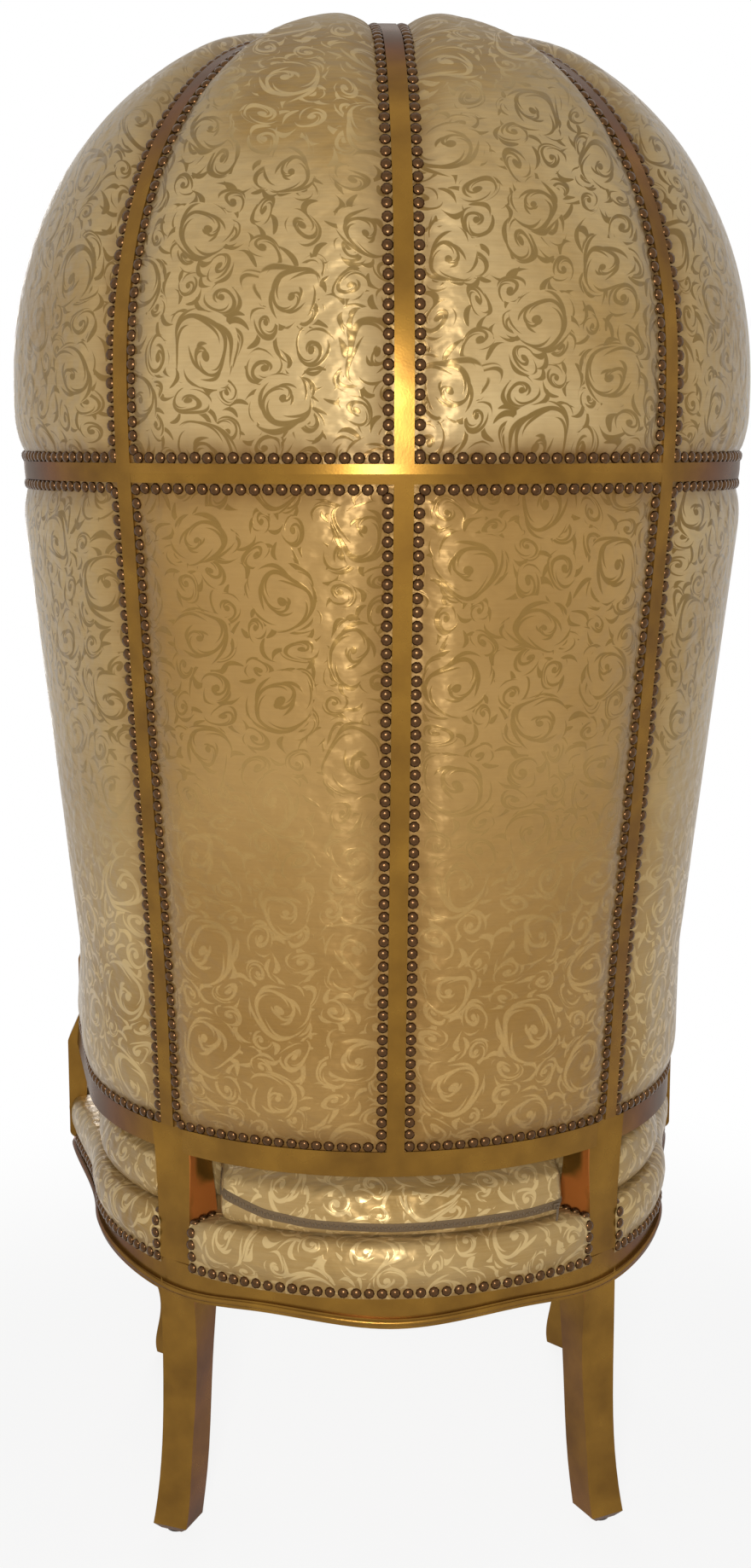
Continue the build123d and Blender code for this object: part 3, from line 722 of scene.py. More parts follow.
@dataclass
class Shell:
    """The outer face of the frame's shell, as the construction has it, in millimetres."""

    low: Ring = Ring(461.0, 349.0, -101.0, 9.0)
    waist: Ring = Ring(650.0, 345.0, -65.0, 4.0)
    high: Ring = Ring(1191.0, 395.6, -24.0, 0.0)
    dome_level: float = 1275.0
    dome_radius: float = 398.0
    dome_rise: float = 380.0
    side_power: float = 2.35
    crown_power: float = 2.15
    post_low_x: float = 242.7
    post_high_x: float = 268.6
    rim: tuple[Pair, ...] = (
        (-238.0, 1760.0),
        (-150.0, 900.0),
        (-165.0, 640.0),
        (-262.0, 625.0),
        (-262.0, 330.0),
    )
    rim_rounds: tuple[float, ...] = (600.0, 70.0, 45.0)
    meridian: list[Triple] = field(default_factory=list)

    def __post_init__(self) -> None:
        """Works out the dome's upright curve and the posts' places."""
        points = [(self.high.radius, self.high.level)]
        wider, taller = self.dome_radius - self.high.radius, self.dome_level - self.high.level
        for s in np.linspace(0.1, 1.0, 10):
            points.append((self.high.radius + wider * (1 - (1 - s) ** 2), self.high.level + taller * s))
        for turn in np.linspace(0.002, math.pi / 2, 400):
            radius = self.dome_radius * max(math.cos(turn), 0.0) ** (2 / self.side_power)
            rise = self.dome_rise * math.sin(turn) ** (2 / self.crown_power)
            points.append((radius, self.dome_level + rise))
        run, last = 0.0, points[0]
        for point in points:
            run += math.dist(point, last)
            self.meridian.append((run, *point))
            last = point
        self.post_low, self.post_high = (
            Vector((x, ring.place(ring.at_x(x))[1], ring.level))
            for x, ring in ((self.post_low_x, self.low), (self.post_high_x, self.high))
        )
        self.across = Vector((math.cos(POST_TURN), -math.sin(POST_TURN), 0))
        self.outwards = Vector((math.sin(POST_TURN), math.cos(POST_TURN), 0))
        self.boss_y = self.post_high.y - self.post_high.x / math.tan(POST_TURN)

    @property
    def crown(self) -> float:
        """Height up the shell, measured over the dome, at its top."""
        return self.high.level + self.meridian[-1][0]

    def ring(self, up: float) -> Ring:
        """The ring at a height, which above the mid hoop is measured over the dome."""
        if up <= self.high.level:
            low, high = (self.low, self.waist) if up < self.waist.level else (self.waist, self.high)
            s = (up - low.level) / (high.level - low.level)
            between = ((low.radius, high.radius), (low.centre, high.centre), (low.flare, high.flare))
            return Ring(up, *(a + s * (b - a) for a, b in between))
        runs, radii, levels = zip(*self.meridian)
        radius = float(np.interp(up - self.high.level, runs, radii))
        level = float(np.interp(up - self.high.level, runs, levels))
        return Ring(level, max(radius, 0.01), self.high.centre, 0.0)

    def point(self, up: float, along: float) -> np.ndarray:
        """A point of the shell's face."""
        ring = self.ring(up)
        return np.array([*ring.place(along), ring.level])

    def normal(self, up: float, along: float) -> np.ndarray:
        """The outward direction at a point of the shell's face."""
        step = 1.0
        share = along / max(self.ring(up).radius, 1.0)
        above, below = (self.point(u, share * self.ring(u).radius) for u in (up + step, up - step))
        rise = above - below
        if up + step > self.crown:
            rise = self.point(up, along) - self.point(up - 2 * step, along)
        side = self.point(up, along + step) - self.point(up, along - step)
        out = np.cross(rise, side)
        return out / max(np.linalg.norm(out), 1e-9)

    def at_post(self, up: float, apart: float) -> float:
        """Distance along the ring of the left post's line, moved across it."""
        ring = self.ring(up)
        if up <= self.high.level:
            s = (up - self.low.level) / (self.high.level - self.low.level)
            start = self.post_low.lerp(self.post_high, s)
        else:
            start = self.post_high.copy()
        start = start + self.across * apart
        rel_x, rel_y = start.x, start.y - ring.centre
        b = rel_x * self.outwards.x + rel_y * self.outwards.y
        c = rel_x**2 + rel_y**2 - ring.radius**2
        root = b * b - c
        if root > 0:
            w = -b + math.sqrt(root)
            x, y = rel_x + w * self.outwards.x, rel_y + w * self.outwards.y
            if y >= 0:
                return ring.radius * math.atan2(x, y)
        w = (ring.radius - rel_x) / self.outwards.x
        return ring.arc_length() - (rel_y + w * self.outwards.y)

    def rim_line(self, inset: float) -> tuple[np.ndarray, np.ndarray]:
        """The front edge in side view, moved inwards, as heights and their Y."""
        points = [np.array(p) for p in self.rim]
        path: list[np.ndarray] = [points[0]]
        for before, corner, after, radius in zip(points, points[1:], points[2:], self.rim_rounds):
            a, b = (before - corner), (after - corner)
            a, b = a / np.linalg.norm(a), b / np.linalg.norm(b)
            half = math.acos(float(np.clip(a @ b, -1, 1))) / 2
            reach = radius / math.tan(half)
            middle = corner + (a + b) / np.linalg.norm(a + b) * radius / math.sin(half)
            start, end = corner + a * reach - middle, corner + b * reach - middle
            sweep = math.atan2(start[0] * end[1] - start[1] * end[0], float(start @ end))
            for s in np.linspace(0, 1, 24):
                c, d = math.cos(sweep * s), math.sin(sweep * s)
                path.append(middle + np.array([c * start[0] - d * start[1], d * start[0] + c * start[1]]))
        path.append(points[-1])
        line = np.array(path)
        way = np.gradient(line, axis=0)
        way /= np.linalg.norm(way, axis=1)[:, None]
        line = line + inset * np.stack([-way[:, 1], way[:, 0]], axis=1)
        keep = np.argsort(line[:, 1])
        return line[keep, 1], line[keep, 0]

    def front_edge(self, inset: float) -> Side:
        """The front edge, moved inwards, as a distance along the ring at each height."""
        heights, depths = self.rim_line(inset)

        def edge(up: float) -> float:
            """Distance along the ring of the front edge."""
            ring = self.ring(up)
            return ring.at_y(float(np.interp(ring.level, heights, depths)))

        return edge

    def up_of(self, level: float) -> float:
        """Height up the shell of a level."""
        if level <= self.high.level:
            return level
        runs, _, levels = zip(*self.meridian)
        return self.high.level + float(np.interp(level, levels, runs))


def sewn_grid(
    name: str, front: np.ndarray, back: np.ndarray, cloth: np.ndarray, worn: np.ndarray | None = None
) -> Piece:
    """Makes a closed pad from a front grid, a back grid and its edges.

    Args:
        name: what the pad is called.
        front: outer points, rows by columns by three, in metres.
        back: inner points on the same grid.
        cloth: the place of each point on the flat cloth, in metres.
        worn: how much painted shade each point has, from 0 to 1.

    Returns:
        The pad, with its faces outwards and a map named cloth.
    """
    rows, cols = front.shape[:2]
    count = rows * cols
    index = np.arange(count).reshape(rows, cols)
    quads = np.stack([index[:-1, :-1], index[:-1, 1:], index[1:, 1:], index[1:, :-1]], axis=-1)
    quads = quads.reshape(-1, 4)
    rim = np.concatenate([index[0, :], index[1:, -1], index[-1, -2::-1], index[-2:0:-1, 0]])
    turn = np.roll(rim, -1)
    skirt = np.stack([turn, rim, rim + count, turn + count], axis=-1)
    faces = np.concatenate([quads, quads[:, ::-1] + count, skirt])
    points = np.concatenate([front.reshape(-1, 3), back.reshape(-1, 3)])
    piece = add_mesh(name, points.tolist(), faces.tolist())
    mesh = piece.data
    flat = np.concatenate([cloth.reshape(-1, 2)] * 2)
    layer = mesh.uv_layers.new(name="cloth")
    corners = np.empty(len(mesh.loops), dtype=np.int32)
    mesh.loops.foreach_get("vertex_index", corners)
    layer.data.foreach_set("uv", flat[corners].astype(np.float32).ravel())
    if worn is not None:
        share = mesh.attributes.new("worn", "FLOAT", "POINT")
        share.data.foreach_set("value", np.concatenate([worn.ravel()] * 2).astype(np.float32))
    select_only(piece)
    with edit_mode():
        bpy.ops.mesh.normals_make_consistent(inside=False)
    bpy.ops.object.shade_smooth_by_angle(angle=math.radians(60))
    return piece


def chain(levels: tuple[float, ...], counts: tuple[int, ...]) -> np.ndarray:
    """Heights from level to level, so many to each span with both its ends counted."""
    spans = [np.linspace(a, b, count)[:-1] for a, b, count in zip(levels, levels[1:], counts)]
    return np.concatenate([*spans, levels[-1:]])


def grid_normals(points: np.ndarray) -> np.ndarray:
    """Unit directions square to a grid of points, by its rows and columns."""
    rise = np.gradient(points, axis=0)
    side = np.gradient(points, axis=1)
    out = np.cross(rise, side)
    return out / np.maximum(np.linalg.norm(out, axis=2), 1e-9)[:, :, None]


def ripple(x: np.ndarray, y: np.ndarray, seed: float) -> np.ndarray:
    """Smooth noise from -1 to 1 at each place of two arrays."""
    flat = [noise.noise((a, b, seed)) for a, b in zip(x.ravel().tolist(), y.ravel().tolist())]
    return np.array(flat).reshape(x.shape)


@dataclass
class Swell:
    """How a pad rises from its nailed edges, in millimetres."""

    height: float = 9.0
    shoulder: float = 46.0
    nailed: float = 8.5
    pucker: float = 2.1
    pucker_length: float = 24.0
    pucker_pitch: float = 13.0
    slack: float = 0.7

    def rise(self, apart: np.ndarray) -> np.ndarray:
        """Share of the full height at a distance from an edge."""
        x = np.clip((apart - self.nailed) / self.shoulder, 0, 1)
        return 1 - (1 - x) ** 2.3

    def shade_share(self, apart: np.ndarray) -> np.ndarray:
        """Share of painted shade at a distance from an edge."""
        return np.exp(-((np.maximum(apart - self.nailed, 0) / 15.0) ** 1.3))

    def fold(self, apart: np.ndarray, along: np.ndarray, seed: float) -> np.ndarray:
        """Puckers that run in from a nailed edge."""
        wave = ripple(along / self.pucker_pitch, apart / 55.0, seed)
        x = np.maximum(apart - self.nailed, 0)
        return self.pucker * (x / 6.0).clip(0, 1) * np.exp(-x / self.pucker_length) * wave


@dataclass
class Patch:
    """A piece of the shell between two heights and two lines, and its pad.

    The start and end lines give a distance along the ring at a height.
    """

    name: str
    node: str
    shell: Shell
    ups: np.ndarray
    start: Side
    end: Side
    cloth_shift: Pair = (0.0, 0.0)
    seed: float = 1.0
    cell: float = 6.5
    hand: int = 1

    def lines(self) -> np.ndarray:
        """Distances along the rings, rows by columns."""
        starts = np.array([self.start(up) for up in self.ups])
        ends = np.array([self.end(up) for up in self.ups])
        cols = max(8, int(np.ptp(np.stack([starts, ends]), axis=0).max() / self.cell))
        return starts[:, None] + np.linspace(0, 1, cols)[None, :] * (ends - starts)[:, None]

    def face(self, alongs: np.ndarray) -> np.ndarray:
        """Points of the shell's face on the grid, in millimetres."""
        out = np.empty((*alongs.shape, 3))
        for i, up in enumerate(self.ups):
            ring = self.shell.ring(float(up))
            for j, along in enumerate(alongs[i]):
                out[i, j] = (*ring.place(float(along)), ring.level)
        return out

    def heights(self, alongs: np.ndarray) -> np.ndarray:
        """The height of each point up the shell."""
        return np.repeat(self.ups[:, None], alongs.shape[1], axis=1)

    def make(
        self, alongs: np.ndarray, proud: np.ndarray, back: float, worn: np.ndarray | None = None
    ) -> Piece:
        """Makes the closed pad that stands proud of the shell's face.

        Args:
            alongs: distances along the rings, rows by columns.
            proud: how far the pad's front stands out at each point.
            back: how far out its flat back lies.
            worn: how much painted shade each point has, from 0 to 1.

        Returns:
            The pad, on its own side of the chair.
        """
        face = self.face(alongs)
        out = grid_normals(face)
        front, rear = face + out * proud[:, :, None], face + out * back
        side = np.array([self.hand, 1, 1])
        cloth = np.stack([alongs + self.cloth_shift[0], self.heights(alongs) + self.cloth_shift[1]], axis=2)
        return sewn_grid(self.name, front * side * MM, rear * side * MM, cloth * MM, worn)


@dataclass
class NailRow:
    """A row of nails: places and outward directions, in millimetres."""

    places: list[np.ndarray]
    outs: list[np.ndarray]

    @staticmethod
    def along(path: list[tuple[np.ndarray, np.ndarray]], pitch: float) -> "NailRow":
        """Spaces nails evenly along a path of places and directions."""
        points = np.array([p for p, _ in path])
        outs = np.array([o for _, o in path])
        run = run_along(points)
        count = max(2, int(round(run[-1] / pitch)) + 1)
        at = np.linspace(0, run[-1], count)
        places = np.stack([np.interp(at, run, points[:, k]) for k in range(3)], axis=1)
        ways = np.stack([np.interp(at, run, outs[:, k]) for k in range(3)], axis=1)
        ways /= np.linalg.norm(ways, axis=1)[:, None]
        return NailRow(list(places), list(ways))

    def mirrored(self) -> "NailRow":
        """The same row on the other side of the chair."""
        side = np.array([-1, 1, 1])
        return NailRow([p * side for p in self.places], [o * side for o in self.outs])


@dataclass
class Studs:
    """Small turned pieces set along rows: nails or covered buttons."""

    radius: float = 6.1
    height: float = 4.0
    sides: int = 9
    rings: int = 6
    jitter: float = 0.35
    tilt: float = 0.05
    foot: float = 0.2

    def pattern(self) -> Mesh:
        """Models one domed head with its foot at the origin, and reads its mesh."""
        bpy.ops.object.select_all(action="DESELECT")
        radius = self.radius * MM
        bpy.ops.mesh.primitive_uv_sphere_add(segments=self.sides, ring_count=self.rings, radius=radius)
        with edit_mode():
            cut = (0, 0, -self.foot * MM)
            bpy.ops.mesh.bisect(plane_co=cut, plane_no=(0, 0, 1), use_fill=True, clear_inner=True)
        points, faces = take_mesh(bpy.context.active_object)
        points[:, 2] *= self.height / self.radius
        return points, faces

    def set_rows(self, name: str, rows: list[NailRow]) -> Piece:
        """Sets one stud at each place of the rows, as one piece.

        Args:
            name: what the piece is called.
            rows: where the studs go.

        Returns:
            The joined studs.
        """
        pattern = self.pattern()
        rng = np.random.default_rng(len(name) * 7 + sum(len(r.places) for r in rows))
        places = []
        for row in rows:
            for place, out in zip(row.places, row.outs):
                tilt = Vector(out + rng.normal(0, self.tilt, 3)).normalized()
                turn = np.array(Vector((0, 0, 1)).rotation_difference(tilt).to_matrix())
                places.append((turn, place * MM + rng.normal(0, self.jitter, 3) * MM * 0.5))
        piece = add_copies(name, pattern, places)
        settle(piece, 50)
        return piece


@dataclass
class ShellPads:
    """The eight upholstered panels outside the shell and their nails."""

    shell: Shell
    wardrobe: Wardrobe
    half_moulding: float = 9.5
    rim_inset: float = 22.0
    low_edge: float = 482.0
    boss_radius: float = 56.0
    nail_inset: float = 5.2
    crown_swell: float = 7.0
    nail_pitch: float = 13.8
    nail_lift: float = 0.8
    # Where the pad's nailed edge and its flat back lie, off the shell's face.
    pad_faces: Pair = (0.3, -3.2)
    # The crown's fuller padding: how far below the top it starts and over what height it
    # grows.
    crown_growth: Pair = (470.0, 300.0)
    # Lengths along and up the cloth of its slack waves, and of the patches of painted shade.
    slack_waves: Pair = (75.0, 110.0)
    shade_wave: float = 16.0
    # How the right pads' cloth is moved, so that the two sides don't mirror each other.
    right_shift: Pair = (62.0, 85.0)
    swell: Swell = field(default_factory=Swell)

    def patches(self) -> list[Patch]:
        """The panels of the left half."""
        s, half = self.shell, self.half_moulding
        mid_low, mid_high = s.high.level - half, s.high.level + half
        rim = s.front_edge(self.rim_inset)

        def rib(up: float) -> float:
            """Distance along the ring of the centre rib's edge."""
            return s.ring(up).at_x(half)

        def before(up: float) -> float:
            """Distance along the ring of the post's edge nearer to the back."""
            return s.at_post(up, -half)

        def behind(up: float) -> float:
            """Distance along the ring of the post's edge nearer to the front."""
            return s.at_post(up, half)

        low = np.linspace(self.low_edge, mid_low, 108)
        top = np.linspace(s.up_of(mid_high), s.crown - 9, 84)
        # Beside the arm the front edge bends sharply, and the rows are closer there.
        side = chain((self.low_edge, 585, 655, mid_low), (17, 46, 82))
        return [
            Patch("back_pad", "back_panel", s, low, rib, before, seed=3.0),
            Patch("side_pad", "side_panel", s, side, behind, rim, (31.0, 64.0), 11.0),
            Patch("dome_pad", "dome_panel", s, top, rib, before, (12.0, 40.0), 21.0),
            Patch("hood_side_pad", "hood_side_panel", s, top, behind, rim, (77.0, 15.0), 31.0),
        ]

    def pad(self, patch: Patch) -> Piece:
        """Builds the pad of one patch: nailed edges, puckers and a full middle."""
        alongs = patch.lines()
        face, up = patch.face(alongs), patch.heights(alongs)
        near, far = alongs - alongs[:, :1], alongs[:, -1:] - alongs
        low, high = up - patch.ups[0], patch.ups[-1] - up
        boss = np.hypot(face[:, :, 0], face[:, :, 1] - self.shell.boss_y) - self.boss_radius
        boss = np.where(face[:, :, 2] > self.shell.dome_level + 150, boss, np.inf)
        swell, seed = self.swell, patch.seed + patch.hand
        start, growth = self.crown_growth
        crown = np.clip((up - self.shell.crown + start) / growth, 0, 1)
        rise = swell.height + self.crown_swell * crown * crown * (3 - 2 * crown)
        for apart in (near, far, low, high, boss):
            rise = rise * swell.rise(apart)
        edges = ((near, up, 0), (far, up, 5), (low, alongs, 9), (high, alongs, 13))
        folds = sum(swell.fold(apart, run, seed + more) for apart, run, more in edges)
        wide, tall = self.slack_waves
        slack = swell.slack * ripple(alongs / wide, up / tall, seed + 20) * rise / swell.height
        # Painted shade, strongest along the nailed edges and broken into uneven patches.
        sides = 0.6 * np.maximum(swell.shade_share(near), swell.shade_share(far))
        worn = np.maximum(sides, np.maximum(swell.shade_share(low), 0.85 * swell.shade_share(high)))
        patchy = ripple(alongs / self.shade_wave, up / self.shade_wave, seed + 30)
        worn = np.clip(0.8 * worn * (1 + 0.5 * patchy), 0, 1)
        edge, back = self.pad_faces
        return patch.make(alongs, edge + rise + folds + slack, back, worn)

    def nails(self, patch: Patch) -> list[NailRow]:
        """The nails round one patch, but not under the crown boss."""
        inset, shell = self.nail_inset, self.shell
        first, last = patch.ups[0] + inset, patch.ups[-1] - inset

        def row(up: float, shares: np.ndarray) -> list[Pair]:
            """Places from side to side at a height."""
            width = patch.end(up) - patch.start(up) - 2 * inset
            return [(up, patch.start(up) + inset + share * width) for share in shares]

        rows = [up for up in patch.ups if first < up < last]
        corners = row(first, np.linspace(0, 1, 60))
        corners += [(up, patch.end(up) - inset) for up in rows]
        # The upper panels have no nails along the crown: the line starts again there.
        open_top = patch.ups[-1] > shell.high.level
        corners += [(np.nan, 0.0)] if open_top else row(last, np.linspace(1, 0, 60))
        corners += [(up, patch.start(up) + inset) for up in reversed(rows)]
        runs: list[list[tuple[np.ndarray, np.ndarray]]] = [[]]
        for up, along in corners:
            if math.isnan(up):
                runs.append([])
                continue
            place = shell.point(up, along)
            apart = math.hypot(place[0], place[1] - shell.boss_y)
            if place[2] > shell.dome_level and apart < self.boss_radius + 4:
                continue
            out = shell.normal(up, along)
            runs[-1].append((place + out * self.nail_lift, out))
        return [NailRow.along(run, self.nail_pitch) for run in runs if len(run) > 3]

    def build(self) -> None:
        """Makes the pads and nails of both sides."""
        studs = Studs()
        for base in self.patches():
            rows = self.nails(base)
            for hand, side in ((1, "left"), (-1, "right")):
                shift = (0.0, 0.0) if hand > 0 else self.right_shift
                patch = replace(
                    base,
                    name=f"{base.name}_{side}",
                    node=f"{base.node}_{side}",
                    hand=hand,
                    cloth_shift=(base.cloth_shift[0] + shift[0], base.cloth_shift[1] + shift[1]),
                )
                pad = self.pad(patch)
                # The back panels take the darker copy of the damask: painted shade.
                rubbed = base.node == "back_panel"
                dress(pad, self.wardrobe.get(Stuff.DAMASK_RUBBED if rubbed else Stuff.DAMASK))
                cover(pad, patch.node, "chair")
                own = rows if hand > 0 else [row.mirrored() for row in rows]
                nails = studs.set_rows(f"nails_{patch.name}", own)
                dress(nails, self.wardrobe.get(Stuff.NAIL))
                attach(nails, "chair")
                LOG.info("%s with %d nails", pad.name, sum(len(r.places) for r in rows))


@dataclass
class Linings:
    """The deep-buttoned linings inside the shell."""

    shell: Shell
    wardrobe: Wardrobe
    inside: float = -62.0
    back: float = -31.0
    depth: float = 13.0
    across: float = 128.0
    rise: float = 150.0
    first_row: float = 520.0
    low_edge: float = 455.0
    # How far in from the edges the cloth is at its full puff, and buttons may be set.
    shoulder: float = 16.0
    button_margin: float = 18.0
    # How far below the crown the last buttons are, and the plain cloth starts.
    last_row: float = 120.0
    plain_top: float = 110.0
    # The gap of each edge at the post's middle.
    gap: float = 0.5
    button: Studs = field(default_factory=lambda: Studs(9.5, 5.5, 14, 8, 0.0))

    def patches(self) -> list[Patch]:
        """Every lining, with the side ones of the left only."""
        s = self.shell
        rim = s.front_edge(1.0)
        mid_low, mid_high = s.high.level - self.gap, s.high.level + self.gap
        low = np.linspace(self.low_edge, mid_low, 106)
        side = chain((self.low_edge, 590, 655, mid_low), (20, 40, 78))
        top = np.linspace(mid_high, s.crown - 3, 92)

        def before(up: float) -> float:
            """Distance along the ring of the left post's middle, on the back's side of it."""
            return s.at_post(up, 0.0) - self.gap

        def behind(up: float) -> float:
            """Distance along the ring of the left post's middle, on the front's side of it."""
            return s.at_post(up, 0.0) + self.gap

        def opposite(up: float) -> float:
            """Distance along the ring of the right post's middle."""
            return -before(up)

        rows = (
            ("lining_back", "back_lining", low, opposite, before),
            ("lining_side", "side_lining", side, behind, rim),
            ("lining_hood_rear", "hood_lining_rear", top, opposite, before),
            ("lining_hood", "hood_lining", top, behind, rim),
        )
        return [
            Patch(name, node, s, ups, start, end, cell=7.0, cloth_shift=(20.0, 30.0))
            for name, node, ups, start, end in rows
        ]

    def button_places(self, patch: Patch) -> list[Pair]:
        """Heights and distances of the buttons of a patch."""
        places = []
        low, high = patch.ups[0] + self.button_margin, patch.ups[-1] - self.button_margin
        for row in range(16):
            up = self.first_row + row * self.rise / 2
            if not low < up < min(high, self.shell.crown - self.last_row):
                continue
            for column in range(-12, 13):
                along = (column + (row % 2) / 2) * self.across
                if patch.start(up) + self.shoulder < along < patch.end(up) - self.shoulder:
                    places.append((up, along))
        return places

    def tuft(self, up: np.ndarray, along: np.ndarray) -> np.ndarray:
        """Share of full puff at a height and distance: none on the folds between buttons."""
        row = (up - self.first_row) / self.rise
        column = along / self.across
        folds = np.sin(math.pi * (row + column)), np.sin(math.pi * (row - column))
        return (np.abs(folds[0]) * np.abs(folds[1])) ** 0.42

    def build_one(self, patch: Patch) -> Piece:
        """Builds one buttoned lining."""
        alongs = patch.lines()
        up = patch.heights(alongs)
        edge = np.minimum(alongs - alongs[:, :1], alongs[:, -1:] - alongs)
        ends = np.minimum(up - patch.ups[0], patch.ups[-1] - up)
        puff = self.tuft(up, alongs)
        puff = np.where(up > self.shell.crown - self.plain_top, np.maximum(puff, 0.75), puff)
        shape = 1 - (1 - np.clip(np.minimum(edge, ends) / self.shoulder, 0, 1)) ** 2
        proud = self.inside + self.depth - self.depth * puff * (0.35 + 0.65 * shape)
        return patch.make(alongs, proud, self.back)

    def build(self) -> None:
        """Makes every lining and its buttons."""
        for base in self.patches():
            paired = base.node in ("side_lining", "hood_lining")
            for hand, side in ((1, "_left"), (-1, "_right")) if paired else ((1, ""),):
                patch = replace(base, name=base.name + side, node=base.node + side, hand=hand)
                lining = self.build_one(patch)
                dress(lining, self.wardrobe.get(Stuff.DAMASK))
                cover(lining, patch.node, "chair")
                row = NailRow([], [])
                for up, along in self.button_places(patch):
                    out = self.shell.normal(up, along)
                    row.places.append(self.shell.point(up, along) + out * (self.inside + self.depth))
                    row.outs.append(-out)
                if row.places:
                    own = row if hand > 0 else row.mirrored()
                    buttons = self.button.set_rows(f"buttons_{patch.name}", [own])
                    dress(buttons, self.wardrobe.get(Stuff.SATIN))
                    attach(buttons, "chair")
                LOG.info("%s with %d buttons", lining.name, len(row.places))


@dataclass
class SeatOutline:
    """Plan of the seat rail: round back, flared sides, round corners and bowed front."""

    radius: float = 340.0
    centre: float = -87.0
    flare: float = 5.0
    end_flare: float = 10.0
    half_width: float = 389.0
    front_y: float = -375.0
    corner: float = 45.0
    bow: float = 1750.0

    def __post_init__(self) -> None:
        """Traces the outline of the left half from the back to the front."""
        turn, end = math.radians(self.flare), math.radians(self.end_flare)
        way, end_way = (np.array([math.sin(a), -math.cos(a)]) for a in (turn, end))
        start = np.array([self.radius * math.cos(turn), self.centre + self.radius * math.sin(turn)])
        bow_y = self.front_y + self.bow
        corner_x = self.half_width - self.corner
        corner_y = bow_y - math.sqrt((self.bow - self.corner) ** 2 - corner_x**2)
        finish = np.array([corner_x + self.corner * math.cos(end), corner_y + self.corner * math.sin(end)])
        bow_turn = math.atan2(corner_x, bow_y - corner_y)
        points, outs = [], []
        for a in np.linspace(math.pi / 2, turn, 90):
            points.append((self.radius * math.cos(a), self.centre + self.radius * math.sin(a)))
            outs.append((math.cos(a), math.sin(a)))
        length = float(np.linalg.norm(finish - start))
        for s in np.linspace(0, 1, 50)[1:-1]:
            slopes = (6 * s**2 - 6 * s, 3 * s**2 - 4 * s + 1, 6 * s - 6 * s**2, 3 * s**2 - 2 * s)
            ends = (start, way * length, finish, end_way * length)
            points.append(tuple(sum(a * b for a, b in zip(hermite(s), ends))))
            run = sum(a * b for a, b in zip(slopes, ends))
            run = run / np.linalg.norm(run)
            outs.append((-run[1], run[0]))
        for a in np.linspace(end, bow_turn - math.pi / 2, 24):
            points.append((corner_x + self.corner * math.cos(a), corner_y + self.corner * math.sin(a)))
            outs.append((math.cos(a), math.sin(a)))
        for a in np.linspace(bow_turn, 0, 60)[1:]:
            points.append((self.bow * math.sin(a), bow_y - self.bow * math.cos(a)))
            outs.append((math.sin(a), -math.cos(a)))
        self.points, self.outs = np.array(points), np.array(outs)
        self.run = run_along(self.points)

    def place(self, along: float) -> tuple[np.ndarray, np.ndarray]:
        """Point and outward direction at a distance from the back's middle, or beyond the front."""
        length = self.run[-1]
        hand = 1.0
        if along < 0:
            along, hand = -along, -1.0
        if along > length:
            along, hand = 2 * length - along, -hand
        tables = (self.points, self.outs)
        point, out = (np.array([np.interp(along, self.run, t[:, k]) for k in (0, 1)]) for t in tables)
        return point * (hand, 1), out * (hand, 1) / np.linalg.norm(out)

    def where(self, value: np.ndarray, wanted: float) -> float:
        """Distance at which a value, given at every traced point, is first as wanted."""
        sign = np.sign(value - wanted)
        first = int(np.argmax(sign != sign[0]))
        a, b = value[first - 1 : first + 1]
        before, after = self.run[first - 1 : first + 1]
        return float(before + (wanted - a) / (b - a) * (after - before))


